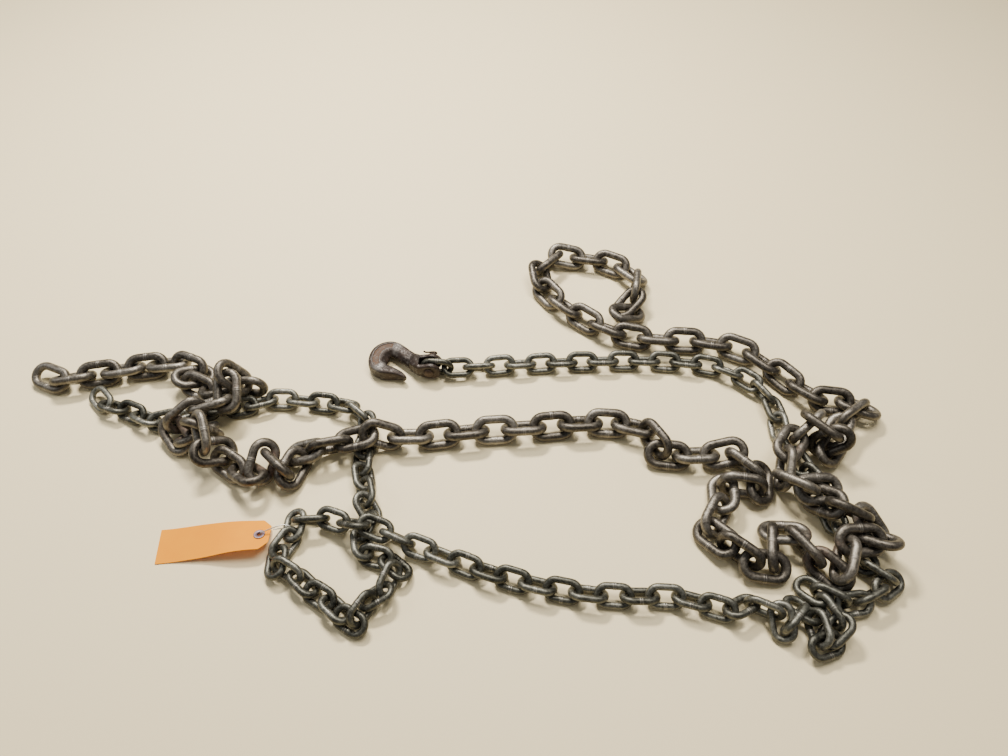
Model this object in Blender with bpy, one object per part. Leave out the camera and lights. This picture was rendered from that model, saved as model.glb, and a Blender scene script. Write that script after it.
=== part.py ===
"""A heap of loose steel chain as it lies on a flat floor: a large chain, a smaller chain with a
clevis grab hook on its end, and a paper tag wired to the smaller chain.

The working unit is the millimetre in the bench frame: X to the right, Y away from the viewer,
Z up from the floor. The finished solids are scaled to metres and moved so that the origin lies
on the floor under the middle of the heap.
"""
import math
from collections import namedtuple

import bmesh
import bpy
import numpy as np
from mathutils import Vector
from mathutils.bvhtree import BVHTree

METRES_PER_UNIT = 0.001
SHARP_EDGE_ANGLE = 75.0

# Chain sizes: wire diameter, inside length and inside width of a link.
LARGE_WIRE = 10.0
LARGE_PITCH = 35.5
LARGE_INSIDE_WIDTH = 15.0
SMALL_WIRE = 7.2
SMALL_PITCH = 27.6
SMALL_INSIDE_WIDTH = 12.5
WIRE_SIDES = 5
WIRE_SECTION_GROWTH = 1.06
ARC_ANGLES = (-67.5, -22.5, 22.5, 67.5)
ARC_GROWTH = 1.045
LARGE_RUNS = 23
SMALL_RUNS = 24
LARGE_BRIDGE_WIDTH = 4.0
SMALL_BRIDGE_WIDTH = 3.0
RUN_GAP = 0.35

# Clear space between two wires, and the steps that lay the links out.
WIRE_GAP = 0.9
START_LIFT = 16.0
THREADING_STEPS = 400
CLOSE_STEPS = 200
TURNING_STEPS = 100
THICKENING_STEPS = 200
LOWERING_STEPS = 400
SLOW_STEPS = 60
SETTLING_STEPS = 500

# Grab hook, clevis pin and cotter. The hook's line runs from the clevis round the bow to the tip.
PIN_DIAMETER = 8.0
PIN_SEAT_GAP = 0.5
PIN_BORE_CLEARANCE = 0.3
PIN_HEAD_DIAMETER = 13.0
PIN_HEAD_THICKNESS = 3.2
PIN_FAR_LENGTH = 9.0
PIN_SIDES = 20
CLEVIS_GAP = 11.0
CLEVIS_EAR_THICKNESS = 5.8
CLEVIS_EAR_RADIUS = 12.5
CLEVIS_EAR_OFFSET = 2.0
HOOK_CENTRE_HEIGHT = 8.95
COTTER_DIAMETER = 2.2
COTTER_HOLE_CLEARANCE = 0.4
COTTER_SIDES = 8
CUT_REACH = 5.0

# Paper tag with its clipped end and eyelet.
TAG_LENGTH = 121.0
TAG_WIDTH = 40.0
TAG_THICKNESS = 0.8
TAG_CLIP = 9.0
TAG_CENTRE = (-381.0, 146.0)
TAG_HEADING = 10.5
TAG_FLOOR_GAP = 0.4
TAG_CURL_HEIGHT = 6.0
TAG_STRIPS = 12
EYELET_INSET = 11.0
EYELET_BORE_RADIUS = 2.4
EYELET_BARREL_RADIUS = 3.4
EYELET_FLANGE_RADIUS = 6.0
EYELET_FLANGE_THICKNESS = 0.8
EYELET_GAP = 0.3
EYELET_SIDES = 20
TAG_WIRE_DIAMETER = 1.2

# Traced routes. Each row is the number of links further on, x, y, the height of the centre,
# the lean of the link's broad side in degrees (0 lies flat, 90 stands on edge) and its heading
# in degrees. A heading of None follows the route, and the links in between lean by turns.
LARGE_ROUTE = (
    (0, -654, 342, 13, 45, -28), (1, -627, 342, 13, -45, 12), (1, -597, 354, 13, 45, -5),
    (1, -569, 361, 13, -45, 20), (1, -541, 370, 13, 45, 0), (1, -513, 374, 15, -45, 18),
    (1, -486, 370, 22, 45, -22), (1, -479, 362, 12, -15, -152), (1, -458, 337, 20, 45, -22),
    (1, -437, 326, 6, -5, 0), (1, -403, 343, 16, 40, 34), (1, -396, 337, 28, 15, 140),
    (1, -421, 334, 30, 8, -76), (1, -435, 312, 27, -70, -122), (1, -462, 287, 19, 42, -120),
    (1, -470, 266, 8, 8, -24), (1, -446, 274, 10, -15, 20), (1, -424, 284, 17, -30, -136),
    (1, -428, 254, 24, 58, -56), (1, -411, 249, 12, 12, 6), (1, -387, 236, 18, 50, -38),
    (1, -362, 221, 9, 18, -27), (1, -350, 242, 15, 30, 50), (1, -333, 238, 17, -55, -47),
    (1, -319, 232, 15, 40, 77), (1, -311, 261, 15, 30, 25), (1, -276, 266, 22, -60, 32),
    (1, -250, 276, 28, 5, 12), (1, -222, 282, 28, 60, 5), (1, -191, 290, 17, -45, 10),
    (1, -160, 297, 14, 45, None), (4, -25, 320, 14, 45, None), (2, 41, 331, 14, 45, 2),
    (1, 69, 325, 16, -50, -18), (1, 93, 312, 22, 60, -48), (1, 108, 290, 9, 5, -5),
    (1, 140, 290, 16, -60, 0), (1, 176, 296, 14, 45, 2), (1, 196, 283, 16, -50, -50),
    (1, 206, 262, 12, 10, -95), (1, 189, 257, 19, 55, 190), (1, 167, 244, 9, 0, -92),
    (1, 156, 215, 19, 60, -128), (1, 155, 192, 9, 5, -45), (1, 178, 177, 18, 60, -25),
    (1, 203, 164, 12, 15, -2), (1, 211, 183, 26, 75, 75), (1, 226, 202, 12, 10, 0),
    (1, 246, 184, 22, -70, -50), (1, 268, 163, 11, 25, -28), (1, 284, 173, 22, -65, 52),
    (1, 298, 190, 23, 30, 46), (1, 316, 189, 22, -50, -34), (1, 306, 207, 16, 35, 134),
    (1, 284, 231, 17, -40, 154), (1, 271, 245, 15, 30, 166), (1, 263, 244, 11, 10, 158),
    (1, 250, 255, 14, -60, 130), (1, 233, 281, 21, 75, 91), (1, 248, 312, 18, 25, 42),
    (1, 265, 333, 27, -60, 53), (1, 276, 326, 24, -60, -66), (1, 292, 314, 8, 8, 189),
    (1, 290, 326, 18, 40, 16), (1, 310, 339, 14, 28, 52), (1, 319, 362, 20, -50, 64),
    (1, 338, 376, 14, 20, 162), (1, 308, 384, 14, 45, 182), (1, 281, 394, 14, -45, 138),
    (1, 258, 415, 14, 45, 126), (1, 232, 438, 14, -45, 142), (1, 205, 463, 14, 45, 165),
    (1, 172, 464, 14, -45, 180), (1, 138, 471, 14, 45, 180), (1, 102, 463, 14, -45, 180),
    (1, 67, 469, 14, 45, 175), (1, 33, 480, 14, -45, 152), (1, 8, 497, 14, 45, 137),
    (1, -18, 513, 14, -45, 140), (1, -44, 542, 14, 50, 122), (1, -56, 567, 14, -20, 100),
    (1, -45, 594, 20, 70, 65), (1, -22, 612, 16, 40, 5), (1, 10, 611, 14, -45, -5),
    (1, 44, 604, 14, 45, -10), (1, 66, 585, 14, -50, -52), (1, 81, 560, 14, 45, -88),
    (1, 64, 522, 17, -30, -120), (1, 63, 508, 12, 15, 12),
)
SMALL_ROUTE = (
    (0, -174, 398, 14, 90, 0), (1, -148, 399, 13, 60, 2), (2, -97, 410, 11, 45, None),
    (4, 8, 424, 11, 45, None), (2, 61, 431, 11, 45, None), (2, 114, 434, 11, 45, None),
    (2, 167, 432, 11, 45, None), (1, 192, 427, 11, -45, -25), (1, 214, 411, 11, 45, -50),
    (1, 231, 392, 11, -45, -62), (1, 242, 366, 11, 45, -88), (1, 239, 340, 11, -45, -92),
    (1, 246, 315, 10, 45, -75), (1, 254, 291, 10, -45, -62), (1, 272, 273, 10, 45, -55),
    (1, 281, 246, 8, 10, -75), (1, 287, 219, 8, 50, -75), (1, 296, 200, 8, -45, -45),
    (1, 312, 186, 10, 45, -40), (1, 319, 164, 18, -50, 15), (1, 321, 157, 10, 30, -95),
    (1, 300, 144, 13, 70, -138), (1, 284, 130, 8, 10, 185), (1, 267, 136, 12, 60, 160),
    (1, 251, 138, 10, 20, 165), (1, 263, 125, 18, 60, -72), (1, 262, 102, 11, 20, -75),
    (1, 249, 88, 9, 10, -130), (1, 246, 105, 17, 50, 115), (1, 236, 119, 10, -10, 150),
    (1, 223, 108, 15, 70, -165), (1, 216, 108, 10, 25, 95), (1, 200, 120, 15, 80, 165),
    (1, 175, 117, 10, 20, 225), (1, 155, 113, 12, 45, 140), (1, 131, 121, 12, -45, 155),
    (1, 107, 127, 12, 45, 180), (1, 83, 120, 11, -45, 195), (1, 56, 116, 11, 45, 180),
    (2, 0, 117, 11, 45, None), (2, -55, 124, 11, 45, None), (2, -109, 138, 11, 45, None),
    (2, -163, 154, 12, 45, None), (1, -189, 166, 15, -45, 155), (1, -214, 171, 20, 45, 172),
    (1, -237, 178, 15, -20, 165), (1, -262, 180, 11, 50, 150), (1, -283, 176, 11, -40, 190),
    (1, -297, 162, 9, 10, -95), (1, -302, 147, 14, 70, -95), (1, -303, 129, 9, 5, -85),
    (1, -290, 115, 12, 50, -42), (1, -272, 105, 11, -45, -38), (1, -248, 91, 11, 45, -28),
    (1, -229, 80, 12, -45, -42), (1, -216, 75, 9, 10, -15), (1, -206, 85, 15, 50, 60),
    (1, -190, 92, 9, 0, 52), (1, -184, 114, 14, 70, 65), (1, -178, 131, 9, 5, 130),
    (1, -202, 141, 13, 60, 172), (1, -222, 149, 9, 10, 100), (1, -221, 172, 9, 60, 92),
    (2, -230, 215, 10, 60, None), (2, -240, 255, 10, 60, None), (1, -243, 277, 10, -40, 92),
    (1, -241, 300, 11, 50, 100), (1, -250, 320, 11, -50, 138), (1, -280, 332, 11, -45, 160),
    (2, -333, 333, 11, -45, None), (1, -358, 338, 11, 45, 180), (1, -383, 330, 11, -45, 190),
    (1, -402, 321, 9, 45, 195), (1, -425, 312, 9, -45, None), (1, -446, 305, 9, 45, None),
    (1, -467, 297, 10, -45, 207), (1, -490, 291, 11, 45, 204), (1, -514, 294, 11, -45, 160),
    (1, -533, 301, 11, 45, 152), (1, -558, 304, 11, -45, 180), (1, -583, 319, 11, 45, 137),
)

# The hook's line relative to the pin's centre: x, y, half width, half thickness, and the share of
# the half width, on the throat's side, where the flat top ends and its wall slopes down.
HOOK_LINE = (
    (-15.5, 4.0, 11.0, 9.0, 0.5), (-24.0, 8.6, 9.6, 8.6, 0.4), (-32.1, 13.9, 9.3, 8.4, 0.35),
    (-40.3, 19.8, 9.3, 8.6, 0.3), (-48.8, 24.3, 9.9, 9.0, 0.3), (-57.4, 23.9, 11.2, 9.0, 0.3),
    (-64.6, 18.2, 12.2, 9.0, 0.3), (-67.6, 8.6, 12.2, 9.0, 0.3), (-66.2, -1.6, 11.4, 9.0, 0.35),
    (-59.6, -8.6, 9.0, 8.8, 0.45), (-49.5, -11.0, 7.0, 8.2, 0.55), (-40.5, -12.7, 4.9, 6.8, 0.6),
    (-33.7, -15.2, 3.6, 5.4, 0.6), (-28.5, -18.8, 2.3, 3.8, 0.6),
)

# The block the ears spring from, relative to the pin's centre: x, y, z, half width, half height.
HOOK_ROOT = ((-26.0, 8.4, -4.6, 9.6, 8.0), (-19.0, 4.0, -2.0, 11.0, 9.0), (-13.5, 0.0, 0.0, 11.3, 9.6))
HOOK_STATIONS_PER_STEP = 2

# The cotter's line in the plane across the pin, relative to the pin's centre: x and z.
COTTER_LINE = (
    (-10.0, 9.5), (-7.5, 7.5), (-3.0, 7.7), (1.0, 8.7), (4.6, 8.9), (6.7, 7.2), (5.6, 5.7), (2.6, 5.5),
    (0.5, 5.0), (0.0, 3.0), (0.0, -7.0),
)
COTTER_OFFSET = 4.6

# The tag wire's route: from under the tag up through the eyelet and over to the smaller chain.
TAG_WIRE_LINE = (
    (-331.5, 155.4, 3.0), (-331.5, 155.4, 6.0), (-331.0, 155.6, 9.2), (-328.4, 156.8, 10.7),
    (-322.0, 160.0, 12.6), (-315.0, 163.7, 13.6), (-309.7, 166.2, 12.8), (-305.5, 167.0, 11.9),
    (-301.3, 167.2, 10.1), (-300.1, 167.2, 6.5), (-301.6, 167.1, 3.0), (-305.5, 167.0, 1.5),
    (-309.4, 166.6, 3.0), (-311.6, 165.2, 6.0), (-314.6, 163.4, 8.6), (-318.4, 161.4, 9.8),
)

Chain = namedtuple("Chain", "name wire pitch inside_width bridge_width runs")
LARGE = Chain("large_chain", LARGE_WIRE, LARGE_PITCH, LARGE_INSIDE_WIDTH, LARGE_BRIDGE_WIDTH, LARGE_RUNS)
SMALL = Chain("small_chain", SMALL_WIRE, SMALL_PITCH, SMALL_INSIDE_WIDTH, SMALL_BRIDGE_WIDTH, SMALL_RUNS)
UP = np.array([0.0, 0.0, 1.0])


def cross(a, b):
    return np.stack([
        a[..., 1] * b[..., 2] - a[..., 2] * b[..., 1],
        a[..., 2] * b[..., 0] - a[..., 0] * b[..., 2],
        a[..., 0] * b[..., 1] - a[..., 1] * b[..., 0],
    ], axis=-1)


def dot(a, b):
    return (a * b).sum(-1)


def length(a):
    return np.sqrt(dot(a, a))


def unit(a):
    return a / np.maximum(length(a), 1e-9)[..., None]


def one_row_per_link(route):
    """Fills in the links between the traced ones: a smooth path, leaning by turns."""
    number = np.cumsum([row[0] for row in route])
    place = np.array([row[1:4] for row in route], float)

    def slope(i):
        before, after = max(i - 1, 0), min(i + 1, len(route) - 1)
        return (place[after] - place[before]) / (number[after] - number[before])

    rows = []
    for i, row in enumerate(route):
        steps = row[0]
        for j in range(1, steps):
            t = j / steps
            point = ((2 * t**3 - 3 * t**2 + 1) * place[i - 1] + (t**3 - 2 * t**2 + t) * slope(i - 1) * steps
                     + (3 * t**2 - 2 * t**3) * place[i] + (t**3 - t**2) * slope(i) * steps)
            rows.append((point, -math.copysign(45, rows[-1][1]), None))
        rows.append((place[i], row[4], row[5]))
    return rows


def traced_poses(rows):
    """Centre, direction along the link and direction across its opening, for each link."""
    centre = np.array([row[0] for row in rows])
    along = np.zeros_like(centre)
    across = np.zeros_like(centre)
    for i, (_, lean, heading) in enumerate(rows):
        if heading is None:
            run = centre[min(i + 1, len(rows) - 1)] - centre[max(i - 1, 0)]
        else:
            run = np.array([math.cos(math.radians(heading)), math.sin(math.radians(heading)), 0.0])
        along[i] = unit(run)
        level = unit(cross(UP, along[i]))
        level = level if level[1] >= 0 else -level
        upright = cross(along[i], level)
        upright = upright if upright[2] >= 0 else -upright
        across[i] = math.cos(math.radians(lean)) * level + math.sin(math.radians(lean)) * upright
    return centre, along, across


def wire_outline(pitch, inside_width, wire):
    """Centre line of a link's wire as points along and across the link."""
    straight = (pitch - inside_width) / 2
    radius = (inside_width + wire) / 2 * ARC_GROWTH
    end = np.radians(ARC_ANGLES)
    front = np.stack([straight + radius * np.cos(end), radius * np.sin(end)], axis=-1)
    return np.concatenate([front, -front])


def closest_points(a0, a1, b0, b1):
    """Closest points of the segments a0-a1 and b0-b1."""
    da, db, gap = a1 - a0, b1 - b0, a0 - b0
    aa, bb, ab = dot(da, da), dot(db, db), dot(da, db)
    ga, gb = dot(da, gap), dot(db, gap)
    spread = aa * bb - ab * ab
    s = np.clip(np.where(spread > 1e-9, (ab * gb - ga * bb) / np.maximum(spread, 1e-9), 0), 0, 1)
    t = np.clip((ab * s + gb) / bb, 0, 1)
    s = np.clip((ab * t - ga) / aa, 0, 1)
    return a0 + da * s[..., None], b0 + db * t[..., None]


class Heap:
    """Poses of all the links of both chains, eased until no two wires overlap."""

    def __init__(self):
        self.chain = []
        poses = []
        for chain, route in ((LARGE, LARGE_ROUTE), (SMALL, SMALL_ROUTE)):
            rows = one_row_per_link(route)
            poses.append(traced_poses(rows))
            self.chain += [chain] * len(rows)
        self.large_count = len(poses[0][0])
        self.count = len(self.chain)
        self.centre, self.along, self.across = (np.concatenate(part) for part in zip(*poses))
        self.wire = np.array([chain.wire for chain in self.chain])
        self.pitch = np.array([chain.pitch for chain in self.chain])
        self.inside = np.array([chain.inside_width for chain in self.chain])
        self.outline = np.array([wire_outline(c.pitch, c.inside_width, c.wire) for c in self.chain])
        self.turn_ease = (0.30 * (self.pitch + 2 * self.wire)) ** 2
        self.joined = np.array([i for i in range(self.count - 1) if i != self.large_count - 1])
        self.hook_link = self.large_count
        self.centre[:self.large_count, 2] += START_LIFT
        self.route = (self.centre.copy(), self.along.copy(), self.across.copy())

    def wire_points(self):
        return (self.centre[:, None] + self.along[:, None] * self.outline[..., 0:1]
                + self.across[:, None] * self.outline[..., 1:2])

    def turn(self, rotation):
        size = length(rotation)[:, None]
        rotation = rotation * np.minimum(1, 0.1 / np.maximum(size, 1e-9))
        self.along = unit(self.along + cross(rotation, self.along))
        across = self.across + cross(rotation, self.across)
        self.across = unit(across - self.along * dot(across, self.along)[:, None])

    def push(self, pushes, strength):
        """Moves and turns the links for a list of (links, points on them, moves wanted there)."""
        move = np.zeros((self.count, 3))
        rotation = np.zeros((self.count, 3))
        number = np.zeros(self.count)
        for link, point, wanted in pushes:
            np.add.at(move, link, wanted)
            lever = cross(point - self.centre[link], wanted)
            np.add.at(rotation, link, lever / self.turn_ease[link][:, None])
            np.add.at(number, link, 1)
        share = strength / np.sqrt(np.maximum(1, number))[:, None]
        self.centre = self.centre + move * share
        self.turn(rotation * share)
        for mine, traced in zip((self.centre, self.along, self.across), self.route):
            mine[self.hook_link] = traced[self.hook_link]

    def yielding(self, link, point, direction):
        lever = cross(point - self.centre[link], direction)
        return 1 + dot(lever, lever) / self.turn_ease[link]

    def near_pairs(self):
        reach = self.pitch / 2 + self.wire
        gap = self.centre[:, None] - self.centre[None]
        limit = (reach[:, None] + reach[None] + WIRE_GAP) ** 2
        return np.nonzero(np.triu(dot(gap, gap) < limit, 1))

    def contacts(self, first, second):
        """Closest points of the wires of each pair, and their distance."""
        start = self.wire_points()
        end = np.roll(start, -1, axis=1)
        a, b = closest_points(start[first][:, :, None], end[first][:, :, None],
                              start[second][:, None], end[second][:, None])
        distance = length(a - b).reshape(len(first), -1)
        best = distance.argmin(1)
        row = np.arange(len(first))
        a = a.reshape(len(first), -1, 3)[row, best]
        b = b.reshape(len(first), -1, 3)[row, best]
        return a, b, distance[row, best]

    def passes_through(self, first, second, inset=0.0):
        """Whether each first link's wire passes through the second link's opening."""
        start = self.wire_points()[first]
        end = np.roll(start, -1, axis=1)
        middle = self.centre[second][:, None]
        normal = cross(self.along, self.across)[second][:, None]
        above, below = dot(start - middle, normal), dot(end - middle, normal)
        crosses = (above < 0) != (below < 0)
        share = np.where(crosses, above / np.where(crosses, above - below, 1), 0)
        point = start + (end - start) * share[..., None] - middle
        straight = ((self.pitch - self.inside) / 2)[second][:, None]
        radius = ((self.inside + self.wire) / 2)[second][:, None] - inset
        u = np.maximum(np.abs(dot(point, self.along[second][:, None])) - straight, 0)
        v = dot(point, self.across[second][:, None])
        inside = crosses & (u * u + v * v < radius ** 2)
        return (inside * np.where(below > above, 1, -1)).sum(1) != 0

    def thread_neighbours(self):
        """Draws neighbours into each other's openings, and says how many aren't threaded yet."""
        a, b = self.joined, self.joined + 1
        threaded = self.passes_through(a, b, 2.5) & self.passes_through(a, b)
        threaded &= self.passes_through(a, b, -1.0)
        a, b = a[~threaded], b[~threaded]
        if not len(a):
            return 0
        normal = cross(self.along, self.across)
        first = np.abs(dot(self.across[a], self.along[b])) < np.abs(dot(self.across[b], self.along[a]))
        first = first[:, None]
        outer = ((self.pitch + self.wire) / 2)[:, None]
        inner = ((self.pitch - self.wire) / 2 - 1)[:, None]
        end_a = self.centre[a] + self.along[a] * np.where(first, outer[a], inner[a])
        end_b = self.centre[b] - self.along[b] * np.where(first, inner[b], outer[b])
        pull = (end_b - end_a) * 0.3
        self.push([(a, end_a, pull), (b, end_b, -pull)], 0.5)
        passing = np.where(first, self.across[a], normal[a])
        opening = np.where(first, normal[b], self.across[b])
        rotation = np.zeros((self.count, 3))
        twist = cross(opening, passing) * np.sign(dot(opening, passing))[:, None] * 0.1
        np.add.at(rotation, b, twist)
        np.add.at(rotation, a, -twist)
        self.turn(rotation)
        return len(a)

    def free_strangers(self):
        """Parts links that aren't neighbours but are threaded, and says how many there are."""
        a, b = self.near_pairs()
        strangers = ~((b == a + 1) & (a != self.large_count - 1))
        a, b = a[strangers], b[strangers]
        threaded = self.passes_through(a, b, -1.0) | self.passes_through(a, b)
        a, b = a[threaded], b[threaded]
        if len(a):
            part = unit(self.centre[a] - self.centre[b])
            part[:, 2] += np.where(part[:, 2] >= 0, 1.0, -1.0)
            np.add.at(self.centre, a, part * 0.3)
            np.add.at(self.centre, b, -part * 0.3)
        return len(a)

    def follow_route(self, hold, hold_turn):
        centre, along, across = self.route
        self.centre[:, :2] += (centre - self.centre)[:, :2] * hold
        twist = (cross(self.along, along) * np.sign(dot(self.along, along))[:, None]
                 + cross(self.across, across) * np.sign(dot(self.across, across))[:, None])
        self.turn(twist * hold_turn)

    def separate(self, size, draw):
        """Pushes that keep the wires apart, and that draw loose neighbours together."""
        a, b = self.near_pairs()
        point_a, point_b, distance = self.contacts(a, b)
        overlap = (self.wire[a] + self.wire[b]) / 2 * size + WIRE_GAP - distance
        neighbours = (b == a + 1) & (a != self.large_count - 1)
        overlap = np.where((overlap < 0) & neighbours, np.maximum(overlap, -1.0) * draw, overlap)
        kept = (overlap > 0) | (neighbours & (overlap < 0))
        a, b, point_a, point_b = a[kept], b[kept], point_a[kept], point_b[kept]
        away = unit(point_a - point_b)
        give = self.yielding(a, point_a, away) + self.yielding(b, point_b, away)
        wanted = away * (overlap[kept] / give)[:, None]
        return [(a, point_a, wanted), (b, point_b, -wanted)]

    def hold_taut(self):
        """Pushes that keep neighbours within reach of each other."""
        a, b = self.joined, self.joined + 1
        straight = ((self.pitch - self.inside) / 2)[:, None]
        end_a = self.centre[a] + self.along[a] * straight[a]
        end_b = self.centre[b] - self.along[b] * straight[b]
        excess = length(end_b - end_a) - (self.inside[a] - WIRE_GAP)
        kept = excess > 0
        a, b, end_a, end_b = a[kept], b[kept], end_a[kept], end_b[kept]
        away = unit(end_b - end_a)
        give = self.yielding(a, end_a, away) + self.yielding(b, end_b, away)
        wanted = away * (excess[kept] / give)[:, None]
        return [(a, end_a, wanted), (b, end_b, -wanted)]

    def stay_above_floor(self):
        points = self.wire_points()
        height = points[..., 2] - self.wire[:, None] / 2 * WIRE_SECTION_GROWTH
        lowest = height.argmin(1)
        row = np.arange(self.count)
        link = row[height[row, lowest] < 0]
        point = points[link, lowest[link]]
        lift = -height[link, lowest[link]] / self.yielding(link, point, UP[None])
        return [(link, point, UP[None] * lift[:, None])]

    def ease(self):
        clean = 0
        for step in range(THREADING_STEPS):
            loose = self.thread_neighbours() + self.free_strangers()
            self.follow_route(0.04 if step < CLOSE_STEPS else 0.01, 0.02 if step < TURNING_STEPS else 0)
            self.push(self.hold_taut(), 1.0)
            clean = clean + 1 if loose == 0 else 0
            if clean > 5:
                break
        for step in range(THICKENING_STEPS):
            self.follow_route(0.04, 0.01)
            self.push(self.separate(min(1.0, 0.1 + step / 150), 0.0), 0.8)
        self.centre[:, 2] += LARGE_WIRE
        for step in range(LOWERING_STEPS):
            self.centre[:, 2] -= 0.2 if step < LOWERING_STEPS - SLOW_STEPS else 0.1
            self.follow_route(0.02, 0.005)
            self.push(self.separate(1.0, 0.1) + self.stay_above_floor(), 1.0)
        for step in range(SETTLING_STEPS):
            draw = 0.1 if step < SETTLING_STEPS // 2 else 0.0
            self.push(self.separate(1.0, draw) + self.stay_above_floor(), 1.0)


def link_mesh(heap, i):
    """Vertices and faces of one link: a few-sided wire swept round its outline."""
    radius = heap.wire[i] / 2 * WIRE_SECTION_GROWTH
    mitre = 1 / math.cos(math.radians(22.5))
    normal = cross(heap.along[i], heap.across[i])
    directions = np.radians(ARC_ANGLES)
    outward = np.stack([np.cos(directions), np.sin(directions)], axis=-1)
    outward = np.concatenate([outward, -outward])
    vertices = []
    for (u, v), (out_u, out_v) in zip(heap.outline[i], outward):
        point = heap.centre[i] + heap.along[i] * u + heap.across[i] * v
        out = (heap.along[i] * out_u + heap.across[i] * out_v) * mitre
        for side in range(WIRE_SIDES):
            angle = 2 * math.pi * side / WIRE_SIDES
            vertices.append(point + radius * (out * math.cos(angle) + normal * math.sin(angle)))
    return vertices, ring_faces(len(outward), WIRE_SIDES, closed=True)


def ring_faces(rings, sides, closed):
    faces = []
    for ring in range(rings if closed else rings - 1):
        after = (ring + 1) % rings
        for side in range(sides):
            turn = (side + 1) % sides
            near, far = ring * sides, after * sides
            faces.append((near + side, far + side, far + turn, near + turn))
    if not closed:
        faces.append(tuple(reversed(range(sides))))
        faces.append(tuple((rings - 1) * sides + side for side in range(sides)))
    return faces


def make_object(name, shells):
    """One object from a list of (vertices, faces), with every face turned outward."""
    mesh_tool = bmesh.new()
    for vertices, faces in shells:
        made = [mesh_tool.verts.new(Vector(vertex)) for vertex in vertices]
        for face in faces:
            mesh_tool.faces.new([made[index] for index in face])
    bmesh.ops.recalc_face_normals(mesh_tool, faces=mesh_tool.faces)
    mesh = bpy.data.meshes.new(name)
    mesh_tool.to_mesh(mesh)
    mesh_tool.free()
    made = bpy.data.objects.new(name, mesh)
    bpy.context.scene.collection.objects.link(made)
    return made


def combine(base, others, operation):
    """Joins the other objects to the base, or cuts them out of it, and removes them."""
    for other in others:
        modifier = base.modifiers.new(operation.lower(), "BOOLEAN")
        modifier.operation = operation
        modifier.solver = "EXACT"
        modifier.object = other
    graph = bpy.context.evaluated_depsgraph_get()
    combined = bpy.data.meshes.new_from_object(base.evaluated_get(graph))
    base.modifiers.clear()
    base.data = combined
    for other in others:
        bpy.data.objects.remove(other)
    return base


def prism(start, end, width):
    """A square bar between two points."""
    axis = unit(end - start)
    side = unit(cross(axis, UP if abs(axis[2]) < 0.9 else np.array([1.0, 0.0, 0.0])))
    up = cross(axis, side)
    corners = [(side * a + up * b) * width / 2 for a, b in ((-1, -1), (1, -1), (1, 1), (-1, 1))]
    return [start + c for c in corners] + [end + c for c in corners], ring_faces(2, 4, closed=False)


def reach_towards(start, end, width, target):
    """How far a bar may run from start before it is RUN_GAP short of the target's surface."""
    tree = BVHTree.FromPolygons([Vector(v) for v in target[0]], target[1])
    axis = unit(end - start)
    side = unit(cross(axis, UP if abs(axis[2]) < 0.9 else np.array([1.0, 0.0, 0.0])))
    up = cross(axis, side)
    hits = []
    for a in np.linspace(-0.5, 0.5, 7):
        for b in np.linspace(-0.5, 0.5, 7):
            origin = start + (side * a + up * b) * width
            hit = tree.ray_cast(Vector(origin), Vector(axis))
            if hit[3] is not None:
                hits.append(hit[3])
    return min(hits, default=0.0) - RUN_GAP


def make_runs(heap):
    """Each chain as runs of a few links, with small bars that stand for where links touch."""
    meshes = [link_mesh(heap, i) for i in range(heap.count)]
    touch_a, touch_b, _ = heap.contacts(heap.joined, heap.joined + 1)
    touch = {link: (touch_a[k], touch_b[k]) for k, link in enumerate(heap.joined)}
    made = []
    first = 0
    for chain, count in ((LARGE, heap.large_count), (SMALL, heap.count - heap.large_count)):
        for number, links in enumerate(np.array_split(np.arange(first, first + count), chain.runs), 1):
            run = make_object(f"{chain.name}_run_{number:02d}", [meshes[link] for link in links])
            bars = [prism(*touch[link], chain.bridge_width) for link in links[:-1]]
            last = links[-1]
            if last in touch:
                start, end = touch[last]
                reach = reach_towards(start, end, chain.bridge_width, meshes[last + 1])
                if reach > chain.wire / 2:
                    bars.append(prism(start, start + unit(end - start) * reach, chain.bridge_width))
            bars = [make_object("bar", [bar]) for bar in bars]
            made.append(combine(run, bars, "UNION"))
        first += count
    return made


def smooth_line(points, steps):
    """Points on a smooth curve through the given rows, which may hold sizes as well."""
    points = [np.array(point, float) for point in points]
    line = []
    for i in range(len(points) - 1):
        before = points[max(i - 1, 0)]
        after = points[min(i + 2, len(points) - 1)]
        for j in range(steps):
            t = j / steps
            line.append(0.5 * (2 * points[i] + (points[i + 1] - before) * t
                               + (2 * before - 5 * points[i] + 4 * points[i + 1] - after) * t**2
                               + (3 * points[i] - before - 3 * points[i + 1] + after) * t**3))
    line.append(points[-1])
    return line


def tube(line, radius, sides):
    """A round rod along a line of points, with flat ends."""
    line = np.array(line, float)
    tangents = unit(np.gradient(line, axis=0))
    side = unit(cross(tangents[0], UP if abs(tangents[0][2]) < 0.9 else np.array([1.0, 0.0, 0.0])))
    vertices = []
    for point, tangent in zip(line, tangents):
        side = unit(side - tangent * dot(side, tangent))
        up = cross(tangent, side)
        for k in range(sides):
            angle = 2 * math.pi * k / sides
            vertices.append(point + radius * (side * math.cos(angle) + up * math.sin(angle)))
    return vertices, ring_faces(len(line), sides, closed=False)


def turned(profile, place, axis, sides):
    """A solid of revolution from (distance along the axis, radius) rows, closed in itself."""
    axis = np.array(axis, float)
    side = unit(cross(axis, np.array([0.3, 0.5, 1.0])))
    up = cross(axis, side)
    vertices = []
    for along, radius in profile:
        for k in range(sides):
            angle = 2 * math.pi * k / sides
            vertices.append(place + axis * along + radius * (side * math.cos(angle) + up * math.sin(angle)))
    return vertices


def rod(place, axis, start, end, radius, sides):
    return turned(((start, radius), (end, radius)), place, axis, sides), ring_faces(2, sides, closed=False)


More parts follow.
